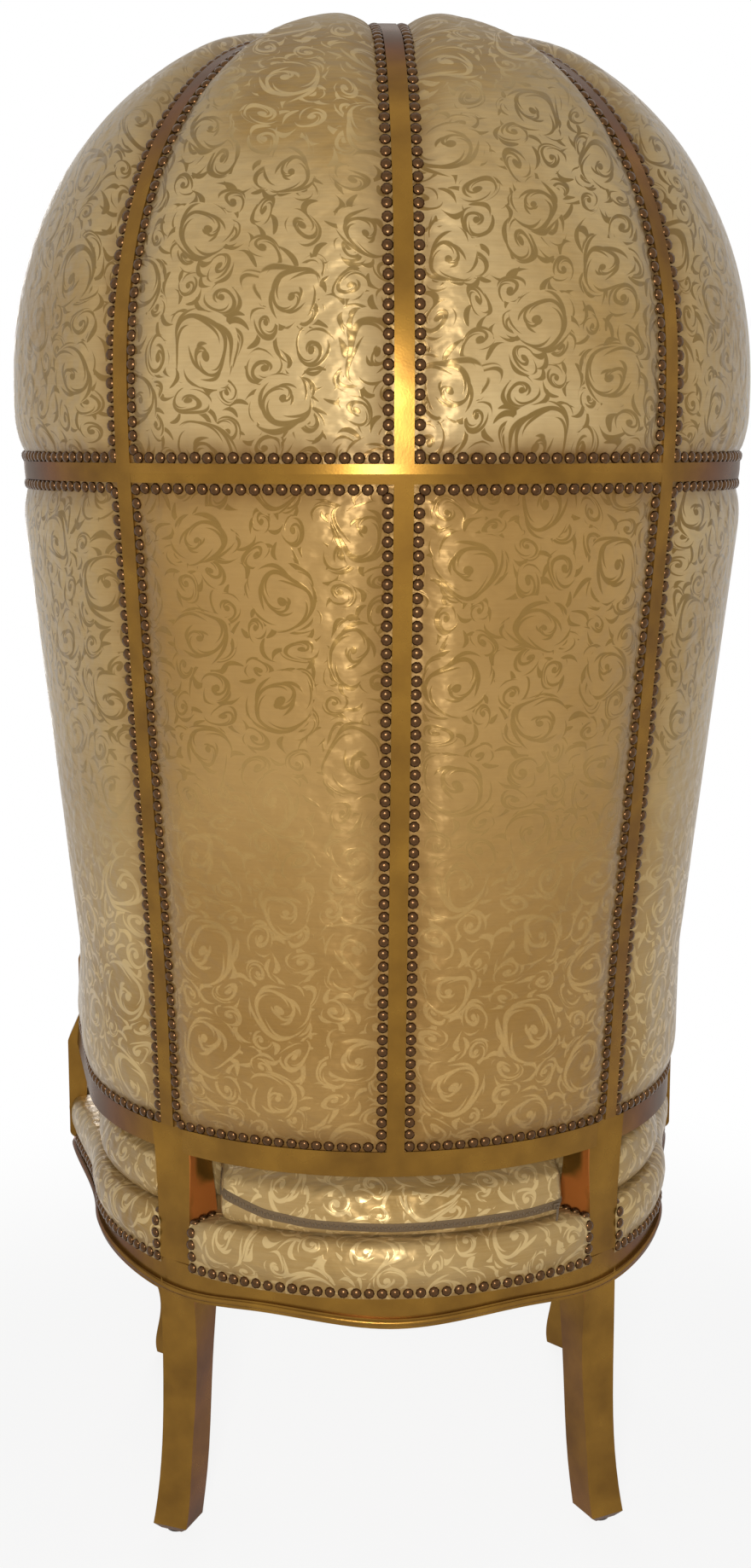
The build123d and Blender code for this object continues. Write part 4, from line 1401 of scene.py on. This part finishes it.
@dataclass
class SeatBands:
    """The covered band over the seat rail, its nails and the deck."""

    shell: Shell
    wardrobe: Wardrobe
    outline: SeatOutline = field(default_factory=SeatOutline)
    leg: Pair = (237.7, 154.6)
    leg_half: float = 22.8
    stump_back: float = -261.5
    stump_front: float = -290.5
    nail_level: float = 324.5
    nail_pitch: float = 13.8
    pinned_length: float = 34.0
    # The level where the padding starts, how far in its flat back lies, and the level at
    # which it goes over the rail.
    pad_foot: float = 325.6
    pad_back: float = -3.8
    pad_top: float = 372.5
    # The puckers: their height, where they are strongest and how soon they fade, then
    # their lengths along and over the cloth.
    pucker: Triple = (1.7, 26.0, 15.0)
    pucker_waves: Pair = (14.0, 45.0)
    # How far in from the cloth's edge beside a stile the nails stand.
    end_inset: float = 5.5
    # Each line: how far out and how high the cloth lies along the rail, then where it is
    # pinned down beside a stile.
    profile: tuple[tuple[float, float, float, float], ...] = (
        (0.3, 317.4, 0.3, 317.4),
        (1.0, 318.2, 1.0, 318.2),
        (1.3, 324.5, 1.3, 324.5),
        (1.8, 331.0, 1.4, 331.0),
        (4.4, 337.5, 1.4, 337.5),
        (7.3, 346.0, 1.4, 345.0),
        (8.5, 356.0, 1.4, 354.0),
        (8.0, 366.0, 1.3, 362.5),
        (5.0, 375.0, 0.6, 370.5),
        (-1.0, 379.8, -2.4, 373.6),
        (-10.0, 381.0, -10.0, 374.4),
        (-22.0, 381.0, -22.0, 374.6),
        (-31.5, 381.0, -31.5, 374.6),
    )
    stile_half: float = 22.5
    deck_drop: float = 6.4
    deck_edge: float = -32.4
    deck_low: float = 375.0

    def spans(self) -> list[tuple[str, float, float]]:
        """Names and ends of the bands, as distances along the outline."""
        o = self.outline
        u = (o.points - np.array(self.leg)) @ np.array(self.shell.across[:2])
        inner, outer = o.where(u, -self.leg_half), o.where(u, self.leg_half)
        behind, before = (o.where(o.points[:, 1], y) for y in (self.stump_back, self.stump_front))
        full = 2 * float(o.run[-1])
        return [
            ("rear", -inner, inner),
            ("left", outer, behind),
            ("right", -behind, -outer),
            ("front", before, full - before),
        ]

    @staticmethod
    def stile_ends(name: str, start: float, end: float) -> list[float]:
        """Ends of a band that meet a rear stile."""
        return {"rear": [start, end], "left": [start], "right": [end]}.get(name, [])

    def section(self, count: int) -> tuple[np.ndarray, tuple[np.ndarray, ...]]:
        """The profile at even steps: the distance over the cloth, and its four columns."""
        table = np.array(self.profile)
        run = run_along(table[:, :2])
        at = np.linspace(0, run[-1], count)
        return at, tuple(np.interp(at, run, table[:, k]) for k in range(4))

    def pin(self, near: float) -> float:
        """How far the cloth is pinned down at a distance from a stile."""
        return max(0.0, 1 - near / self.pinned_length) ** 1.6

    def band(self, name: str, start: float, end: float) -> Piece:
        """Builds one band with puckers above its nails, pinned down beside the stiles."""
        cols = int((end - start) / 4.5)
        alongs = np.linspace(start, end, cols)
        at, (outs, levels, pin_outs, pin_levels) = self.section(30)
        front, back = np.empty((len(at), cols, 3)), np.empty((len(at), cols, 3))
        wide, tall = self.pucker_waves
        wave = ripple(*np.meshgrid(alongs / wide, at / tall), 7.0)
        height, middle, fade = self.pucker
        stiles = self.stile_ends(name, start, end)
        for j, along in enumerate(alongs):
            point, out = self.outline.place(float(along))
            pin = self.pin(min((abs(along - stile) for stile in stiles), default=self.pinned_length))
            for i in range(len(at)):
                fold = height * wave[i, j] * math.exp(-(((at[i] - middle) / fade) ** 2)) * (1 - pin)
                reach = outs[i] + fold + pin * (pin_outs[i] - outs[i])
                level = levels[i] + pin * (pin_levels[i] - levels[i])
                front[i, j] = (*(point + out * reach), level)
                # The band's back lies flat on the rail's face, and over it on the rail's top.
                deep, inner_level = (0.05 if level < self.pad_foot else self.pad_back), level
                if level >= self.pad_top:
                    deep, inner_level = min(reach, self.pad_back), self.pad_top - 0.1
                back[i, j] = (*(point + out * min(deep, reach - 0.2)), inner_level)
        cloth = np.stack(np.meshgrid(alongs + 17.0, at + 100.0), axis=2) * MM
        # Painted shade just above the nails, in uneven patches.
        worn = np.clip(0.5 * np.exp(-((at[:, None] / 19.0) ** 2)) * (1 + 0.6 * wave), 0, 1)
        return sewn_grid(f"band_{name}", front * MM, back * MM, cloth, worn)

    def build(self) -> None:
        """Makes the bands, their nails and the deck."""
        rows: list[NailRow] = []
        for name, start, end in self.spans():
            band = self.band(name, start, end)
            dress(band, self.wardrobe.get(Stuff.DAMASK))
            cover(band, f"seat_band_{name}", "chair")
            path = []
            for along in np.linspace(start + 5, end - 5, int((end - start) / 4)):
                point, out = self.outline.place(float(along))
                place = np.array([*(point + out * 1.4), self.nail_level])
                path.append((place, np.array([*out, 0.0])))
            rows.append(NailRow.along(path, self.nail_pitch))
            for stop in self.stile_ends(name, start, end):
                rows.append(self.end_row(stop, 1 if stop == start else -1))
        nails = Studs().set_rows("nails_seat_band", rows)
        dress(nails, self.wardrobe.get(Stuff.NAIL))
        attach(nails, "chair")
        self.deck()
        LOG.info("seat bands with %d nails", sum(len(r.places) for r in rows))

    def end_row(self, stop: float, way: int) -> NailRow:
        """Nails that follow the cloth's edge up a stile and over the rail."""
        point, out = self.outline.place(stop + way * self.end_inset)
        _, (outs, levels, pin_outs, pin_levels) = self.section(60)
        pin = self.pin(self.end_inset)
        reach, level = outs + pin * (pin_outs - outs), levels + pin * (pin_levels - levels)
        over, rise = np.gradient(reach), np.gradient(level)
        path = []
        for k in range(len(reach)):
            if level[k] < self.nail_level + 0.93 * self.nail_pitch:
                continue
            normal = np.array([*(out * rise[k]), -over[k]])
            normal = normal / np.linalg.norm(normal)
            path.append((np.array([*(point + out * reach[k]), level[k]]) + normal * 0.3, normal))
        return NailRow.along(path, self.nail_pitch)

    def lower_corners(self, deck: Piece) -> None:
        """Draws the deck's cloth down beside the stiles, as the band's cloth is."""
        across, outwards = self.shell.across, self.shell.outwards
        x, y, _ = STILE_LINE[1]
        for vertex in deck.data.vertices:
            if vertex.co.z < self.deck_low * MM:
                continue
            apart = Vector((abs(vertex.co.x) - x * MM, vertex.co.y - y * MM, 0)) / MM
            beside = max(abs(apart.dot(across)) - self.stile_half, 0)
            behind = max(-apart.dot(outwards) - self.stile_half, 0)
            vertex.co.z -= self.deck_drop * self.pin(math.hypot(beside, behind)) * MM

    def deck(self) -> None:
        """Makes the flat deck under the cushion, with a sewn line round it."""
        length = float(self.outline.run[-1])
        alongs = np.linspace(0, 2 * length, 161)[:-1]
        rings = np.concatenate([[1.0, 0.995, 0.97], np.linspace(0.93, 0.05, 22)])
        # The level of each ring: a sewn line near the edge and a slight dip inside it.
        levels = [380.9, 380.6, 380.6, 379.6] + [380.9] * (len(rings) - 4)
        centre = np.array([0.0, -75.0])
        points, faces = [], []
        for share, level in zip(rings, levels):
            for along in alongs:
                point, out = self.outline.place(float(along))
                point = centre + (point + out * self.deck_edge - centre) * share
                points.append((*(point * MM), level * MM))
        count = len(alongs)
        for k in range(len(rings) - 1):
            for j in range(count):
                a, b = k * count + j, k * count + (j + 1) % count
                faces.append((a, a + count, b + count, b))
        faces.append(tuple(reversed(range((len(rings) - 1) * count, len(rings) * count))))
        deck = add_mesh("deck", points, faces)
        mesh = deck.data
        layer = mesh.uv_layers.new(name="cloth")
        for loop in mesh.loops:
            layer.data[loop.index].uv = mesh.vertices[loop.vertex_index].co[:2]
        thick = deck.modifiers.new("cloth and felt", "SOLIDIFY")
        thick.thickness, thick.offset = 0.02, -1
        apply_all(deck)
        self.lower_corners(deck)
        cut_round_legs(deck)
        settle(deck)
        dress(deck, self.wardrobe.get(Stuff.SATIN))
        cover(deck, "seat_deck", "chair")


@dataclass
class RailBead:
    """The half-round bead that follows the rail's waved lower edge."""

    wardrobe: Wardrobe
    outline: SeatOutline = field(default_factory=SeatOutline)
    foot: float = 285.0
    lift: float = 6.2
    outset: float = 2.6
    radius: float = 3.4
    # How far the lower edge rises at distances from the middle.
    wave: tuple[Pair, ...] = (
        (0.0, 0.0),
        (150.0, 8.5),
        (235.0, 1.0),
        (345.0, 15.0),
        (420.0, 17.0),
    )

    def rise(self, x: float) -> float:
        """Rise of the lower edge at an X, on a smooth line through the table."""
        xs, ys = np.array(self.wave).T
        slopes = np.gradient(ys, xs)
        slopes[0] = 0.0
        x = min(abs(x), xs[-1])
        k = min(int(np.searchsorted(xs, x, side="right")) - 1, len(xs) - 2)
        run = xs[k + 1] - xs[k]
        ends = (ys[k], run * slopes[k], ys[k + 1], run * slopes[k + 1])
        return float(sum(share * end for share, end in zip(hermite((x - xs[k]) / run), ends)))

    def build(self) -> None:
        """Sweeps the bead round the whole rail."""
        length = 2 * float(self.outline.run[-1])
        places = []
        for along in np.linspace(0, length, 241)[:-1]:
            point, out = self.outline.place(float(along))
            point = point + out * self.outset
            places.append((*point, self.foot + self.lift + self.rise(float(point[0]))))
        bpy.ops.object.select_all(action="DESELECT")
        bpy.ops.curve.primitive_nurbs_circle_add(radius=0.4)
        bead = bpy.context.active_object
        curve = bead.data
        curve.splines.clear()
        line = curve.splines.new("POLY")
        line.points.add(len(places) - 1)
        for spot, place in zip(line.points, places):
            spot.co = (*(c * MM for c in place), 1.0)
        line.use_cyclic_u = True
        curve.dimensions = "3D"
        curve.bevel_depth, curve.bevel_resolution = self.radius * MM, 2
        bpy.ops.object.convert(target="MESH")
        bead = bpy.context.active_object
        bead.name = bead.data.name = "rail_bead"
        settle(bead, 60)
        dress(bead, self.wardrobe.get(Stuff.GILT))
        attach(bead, "chair")


def cut_round_legs(piece: Piece) -> None:
    """Cuts the places of the rear stiles out of a piece."""
    side, (x, y, z) = 0.0465, (0.2252, 0.1370, 0.37)
    for hand in (1, -1):
        bpy.ops.object.select_all(action="DESELECT")
        bpy.ops.mesh.primitive_cube_add(size=side, location=(hand * x, y, z))
        tool = bpy.context.active_object
        tool.scale = (1, 1, 4)
        tool.rotation_euler = (0, 0, -hand * POST_TURN)
        select_only(tool)
        bpy.ops.object.transform_apply(location=True, rotation=True, scale=True)
        cut = piece.modifiers.new("round the stile", "BOOLEAN")
        cut.operation, cut.object, cut.solver = "DIFFERENCE", tool, "EXACT"
        apply_all(piece)
        bpy.data.objects.remove(tool)


@dataclass
class Stuffed:
    """A stuffed piece blown up from its CAD solid by a cloth simulation.

    The voxel, the shrink, the cap and the floor are in millimetres: the size of the even
    mesh, how much smaller it starts, how far it may swell and the level that it rests on.
    """

    name: str
    node: str
    body: str
    slot: str
    voxel: float
    pressure: float
    cap: float
    fill: float
    floor: float = -1.0
    shrink: float = 1.0
    frames: int = 20

    def source(self) -> Piece:
        """A merged, evenly meshed copy of the CAD node, a little smaller."""
        piece = bpy.data.objects[self.node].copy()
        piece.data = piece.data.copy()
        piece.name = piece.data.name = self.name
        for key in [k for k in piece.keys() if k.startswith("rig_")]:
            del piece[key]
        piece.parent = None
        bpy.context.scene.collection.objects.link(piece)
        select_only(piece)
        with edit_mode():
            bpy.ops.mesh.remove_doubles(threshold=0.05 * MM)
            bpy.ops.mesh.normals_make_consistent(inside=False)
        if piece.data.has_custom_normals:
            bpy.ops.mesh.customdata_custom_splitnormals_clear()
        even = piece.modifiers.new("even mesh", "REMESH")
        even.mode, even.voxel_size = "VOXEL", self.voxel * MM
        smooth = piece.modifiers.new("soften", "SMOOTH")
        smooth.iterations, smooth.factor = 3, 0.5
        inset = piece.modifiers.new("take in", "DISPLACE")
        inset.strength, inset.mid_level = -self.shrink * MM, 0.0
        apply_all(piece)
        return piece

    def blow_up(self, piece: Piece) -> None:
        """Fills the piece with pressure and keeps its swelling within the cap."""
        start = np.array([v.co[:] for v in piece.data.vertices])
        cloth = piece.modifiers.new("stuffing", "CLOTH")
        ways = cloth.settings
        ways.use_pressure, ways.uniform_pressure_force = True, self.pressure
        ways.mass, ways.quality = 0.3, 5
        ways.tension_stiffness = ways.compression_stiffness = 25
        ways.effector_weights.gravity = 0
        cloth.point_cache.frame_start, cloth.point_cache.frame_end = 1, self.frames
        scene = bpy.context.scene
        for frame in range(1, self.frames + 1):
            scene.frame_set(frame)
        apply_all(piece)
        scene.frame_set(1)
        move = np.array([v.co[:] for v in piece.data.vertices]) - start
        size = np.linalg.norm(move, axis=1)[:, None]
        capped = start + move * np.minimum(1.0, self.cap * MM / np.maximum(size, 1e-9))
        piece.data.vertices.foreach_set("co", capped.ravel())
        piece.data.update()

    def map_cloth(self, piece: Piece) -> None:
        """Lays the cloth's map on the piece: over the top, and round the sides."""
        mesh = piece.data
        layer = mesh.uv_layers.new(name="cloth")
        for face in mesh.polygons:
            flat = abs(face.normal.z) > 0.55
            wide = abs(face.normal.x) > abs(face.normal.y)
            for loop in face.loop_indices:
                x, y, z = mesh.vertices[mesh.loops[loop].vertex_index].co
                layer.data[loop].uv = (x, y) if flat else ((y if wide else x), z)

    def build(self, wardrobe: Wardrobe) -> Piece:
        """Makes the stuffed piece and returns it."""
        piece = self.source()
        self.blow_up(piece)
        soft = piece.modifiers.new("soft", "SUBSURF")
        soft.levels = soft.render_levels = 1
        apply_all(piece)
        if self.floor > 0:
            for vertex in piece.data.vertices:
                vertex.co.z = max(vertex.co.z, self.floor * MM)
        self.map_cloth(piece)
        settle(piece, 70)
        dress(piece, wardrobe.get(Stuff.DAMASK))
        cover(piece, self.node, self.body)
        LOG.info("%s has %d faces", piece.name, len(piece.data.polygons))
        return piece


@dataclass
class Zip:
    """The zip across the cushion's back border: tape, teeth, slider and pull."""

    cushion: Piece
    wardrobe: Wardrobe
    # X and level of the zip's middle line, from one end to the other.
    line: tuple[Pair, ...] = (
        (-186.0, 400.0),
        (-150.0, 397.5),
        (-90.0, 398.0),
        (0.0, 396.0),
        (90.0, 398.0),
        (140.0, 404.0),
        (186.0, 418.0),
    )
    tape_half: float = 5.2
    tape_lift: float = 0.9
    tape_back: float = -1.2
    # Teeth stand to this side and that of the middle line, and above the tape.
    tooth_side: float = 0.7
    tooth_lift: float = 0.4
    tooth_pitch: float = 3.2
    tooth: Triple = (1.7, 3.4, 1.5)
    # The slider's body, bridge and pull: the size of each and where its middle lies.
    slider_parts: tuple[tuple[Triple, Triple], ...] = (
        ((8.0, 7.0, 2.6), (0.0, 0.0, 2.4)),
        ((5.0, 1.6, 2.4), (0.0, 0.0, 4.6)),
        ((3.4, 15.0, 0.9), (0.0, -9.0, 5.2)),
    )

    def __post_init__(self) -> None:
        """Gets the cushion's surface ready to be searched."""
        mesh = self.cushion.data
        points = [v.co.copy() for v in mesh.vertices]
        self.surface = BVHTree.FromPolygons(points, [tuple(p.vertices) for p in mesh.polygons])

    def spot(self, x: float, level: float) -> tuple[np.ndarray, np.ndarray]:
        """Place and outward direction of the cushion's back at an X and a level."""
        place, normal, _, _ = self.surface.ray_cast(Vector((x, 900.0, level)) * MM, Vector((0, -1, 0)))
        if place is None:
            place, normal, _, _ = self.surface.find_nearest(Vector((x, 220.0, level)) * MM)
        out = np.array([normal.x, abs(normal.y), 0.5 * normal.z])
        return np.array(place) / MM, out / np.linalg.norm(out)

    def level(self, x: float) -> float:
        """Level of the zip's middle line at an X."""
        xs, levels = np.array(self.line).T
        return float(np.interp(x, xs, levels))

    def tape(self) -> Piece:
        """Makes the tape, sewn flat on the border."""
        xs = np.linspace(self.line[0][0], self.line[-1][0], 110)
        ups = np.linspace(-self.tape_half, self.tape_half, 7)
        front, back = np.empty((len(ups), len(xs), 3)), np.empty((len(ups), len(xs), 3))
        for j, x in enumerate(xs):
            for i, up in enumerate(ups):
                place, out = self.spot(float(x), self.level(float(x)) + float(up))
                lift = self.tape_lift * (0.55 if i in (0, len(ups) - 1) else 1.0)
                front[i, j], back[i, j] = place + out * lift, place + out * self.tape_back
        cloth = np.stack(np.meshgrid(xs, ups), axis=2) * MM
        return sewn_grid("zip_tape", front * MM, back * MM, cloth)

    def teeth(self) -> Piece:
        """Models one tooth and sets a copy of it at every place along the tape."""
        pattern = take_mesh(bevelled_box(self.tooth, (0, 0, 0), 0.35, 1))
        places = []
        first, last = self.line[0][0] + 4, self.line[-1][0] - 4
        for k, x in enumerate(np.arange(first, last, self.tooth_pitch)):
            side = self.tooth_side if k % 2 else -self.tooth_side
            place, out = self.spot(float(x), self.level(float(x)) + side)
            ahead, _ = self.spot(float(x) + 2.0, self.level(float(x) + 2.0))
            along = Vector(ahead - place).normalized()
            turn = np.array(Matrix((along, Vector(out).cross(along), Vector(out))).transposed())
            places.append((turn, (place + out * (self.tape_lift + self.tooth_lift)) * MM))
        piece = add_copies("zip_teeth", pattern, places)
        settle(piece, 35)
        return piece

    def slider(self) -> Piece:
        """Makes the slider with its bridge and its pull, parked at the right end."""
        x = self.line[0][0] + 9
        place, out = self.spot(x, self.level(x))
        parts = [bevelled_box(size, at, 0.4, 2) for size, at in self.slider_parts]
        piece = merge_pieces("zip_slider", parts)
        along = Vector((0, 0, 1)).cross(Vector(out)).normalized()
        turn = Matrix((along, Vector(out).cross(along), Vector(out))).transposed().to_4x4()
        piece.matrix_world = Matrix.Translation(place * MM) @ turn
        settle(piece, 35)
        return piece

    def build(self) -> None:
        """Makes the whole zip, which moves with the cushion."""
        made = (
            (self.tape(), Stuff.ZIP_TAPE),
            (self.teeth(), Stuff.ZIP_TEETH),
            (self.slider(), Stuff.ZIP_TEETH),
        )
        for piece, stuff in made:
            dress(piece, self.wardrobe.get(stuff))
            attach(piece, "cushion")
            LOG.info("%s has %d faces", piece.name, len(piece.data.polygons))


@dataclass
class Frame:
    """The gilt frame and the hidden woodwork, carried over from the construction."""

    wardrobe: Wardrobe

    def build(self, nodes: dict[str, Piece]) -> None:
        """Gives every hard piece its finish."""
        finishes = {
            "corner_brace": Stuff.BEECH,
            "webbing": Stuff.JUTE,
            "glides": Stuff.NYLON,
            "rear_stile": Stuff.GILT_STILE,
        }
        soft = ("panel", "lining", "band", "pad", "deck", "cushion")
        for name, piece in nodes.items():
            if any(word in name for word in soft):
                continue
            stuff = next((s for key, s in finishes.items() if name.startswith(key)), Stuff.GILT)
            for slot in piece.material_slots:
                slot.material = self.wardrobe.get(stuff)
            LOG.info("%s in %s", name, stuff.value.name)


@dataclass
class Studio:
    """The pale floor, the soft lights and the camera."""

    eye: Triple = (0.12415, 2.3156, 1.2232)
    pitch: float = 9.549
    yaw: float = 2.864
    focal_px: float = 2400.2
    image: tuple[int, int] = (880, 1838)
    daylight: float = 0.17
    target: Triple = (0.0, 0.0, 0.85)
    # The floor turns from the paint's own shade to plain white between these distances.
    pale_from: Pair = (0.55, 1.5)
    shade: float = 0.86
    # Each lamp: its name, place, size and power.
    lamps: tuple[tuple[str, Triple, float, float], ...] = (
        ("key", (0.2, 2.55, 1.2), 0.42, 50.0),
        ("fill left", (2.6, 1.2, 1.3), 1.6, 2.5),
        ("fill right", (-2.6, 0.6, 1.3), 1.6, 1.5),
        ("front", (0.25, -2.9, 1.2), 1.6, 36.0),
        ("top", (0.0, 0.6, 3.4), 1.5, 1.5),
    )

    def camera(self) -> None:
        """Places the camera where the photograph was taken from."""
        data = bpy.data.cameras.new("camera")
        data.sensor_width = 36.0
        data.lens = self.focal_px / max(self.image) * data.sensor_width
        data.clip_start, data.clip_end = 0.05, 60.0
        camera = add_object("camera", data)
        yaw, pitch = math.radians(self.yaw), math.radians(self.pitch)
        ahead = Vector((-math.sin(yaw), -math.cos(yaw), 0))
        right = Vector((-math.cos(yaw), math.sin(yaw), 0))
        look = ahead * math.cos(pitch) - Vector((0, 0, 1)) * math.sin(pitch)
        over = Vector((0, 0, 1)) * math.cos(pitch) + ahead * math.sin(pitch)
        turn = Matrix((right, over, -look)).transposed().to_4x4()
        camera.matrix_world = Matrix.Translation(self.eye) @ turn
        bpy.context.scene.camera = camera

    def lamp(self, name: str, place: Triple, size: float, power: float) -> None:
        """Hangs a soft square lamp that looks at the chair."""
        data = bpy.data.lights.new(name, "AREA")
        data.shape, data.size, data.energy = "SQUARE", size, power
        lamp = add_object(name, data)
        turn = (Vector(self.target) - Vector(place)).to_track_quat("-Z", "Y")
        lamp.matrix_world = Matrix.Translation(place) @ turn.to_matrix().to_4x4()

    def room(self) -> None:
        """Makes the floor and the white surroundings."""
        bpy.ops.object.select_all(action="DESELECT")
        bpy.ops.mesh.primitive_plane_add(size=14, location=(0, 0, 0))
        floor = bpy.context.active_object
        floor.name = "floor"
        # Matt white paint, brightened to plain white away from the chair.
        t = Tree(bpy.data.materials.new("matt white paint"))
        apart = t.add("ShaderNodeVectorMath", {"operation": "LENGTH"}, i0=t.place()).outputs["Value"]
        far = t.mad(t.smooth(apart, *self.pale_from), 1.0 - self.shade, self.shade)
        white = t.mul(far, t.seen())
        paint = t.add("ShaderNodeBsdfDiffuse", None, Color=(0.86, 0.86, 0.85, 1.0))
        glow = t.add("ShaderNodeEmission", None, Color=(1.0, 1.0, 1.0, 1.0), Strength=1.0)
        mix = t.add("ShaderNodeMixShader", None, i0=white, i1=paint.outputs[0], i2=glow.outputs[0])
        dress(floor, t.finish(mix))
        bpy.context.scene.world = bpy.data.worlds.new("studio")
        t = Tree(bpy.context.scene.world)
        strength = t.mad(t.seen(), 1.0 - self.daylight, self.daylight)
        t.finish(t.add("ShaderNodeBackground", None, Color=(1.0, 1.0, 1.0, 1.0), Strength=strength))

    def build(self) -> None:
        """Sets up the whole studio."""
        self.camera()
        self.room()
        for name, place, size, power in self.lamps:
            self.lamp(name, place, size, power)
        bpy.context.scene.view_settings.view_transform = "Standard"


def main() -> None:
    """Builds the chair and its studio, in order."""
    logging.basicConfig(level=logging.INFO, format="%(message)s")
    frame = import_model()
    bpy.ops.object.select_all(action="DESELECT")
    wardrobe = Wardrobe()
    shell = Shell()
    Studio().build()
    Frame(wardrobe).build(frame["nodes"])
    ShellPads(shell, wardrobe).build()
    Linings(shell, wardrobe).build()
    SeatBands(shell, wardrobe).build()
    RailBead(wardrobe).build()
    for hand in ("left", "right"):
        names = (f"arm_cushion_{hand}", f"arm_pad_{hand}", "chair", "gold_damask")
        Stuffed(*names, voxel=4.0, pressure=3.0, cap=3.0, fill=0.8).build(wardrobe)
    names = ("loose_cushion", "seat_cushion", "cushion", "cushion_damask")
    cushion = Stuffed(*names, voxel=8.0, pressure=4.0, cap=5.5, fill=0.7, floor=381.4).build(wardrobe)
    Zip(cushion, wardrobe).build()


if __name__ == "__main__":
    main()
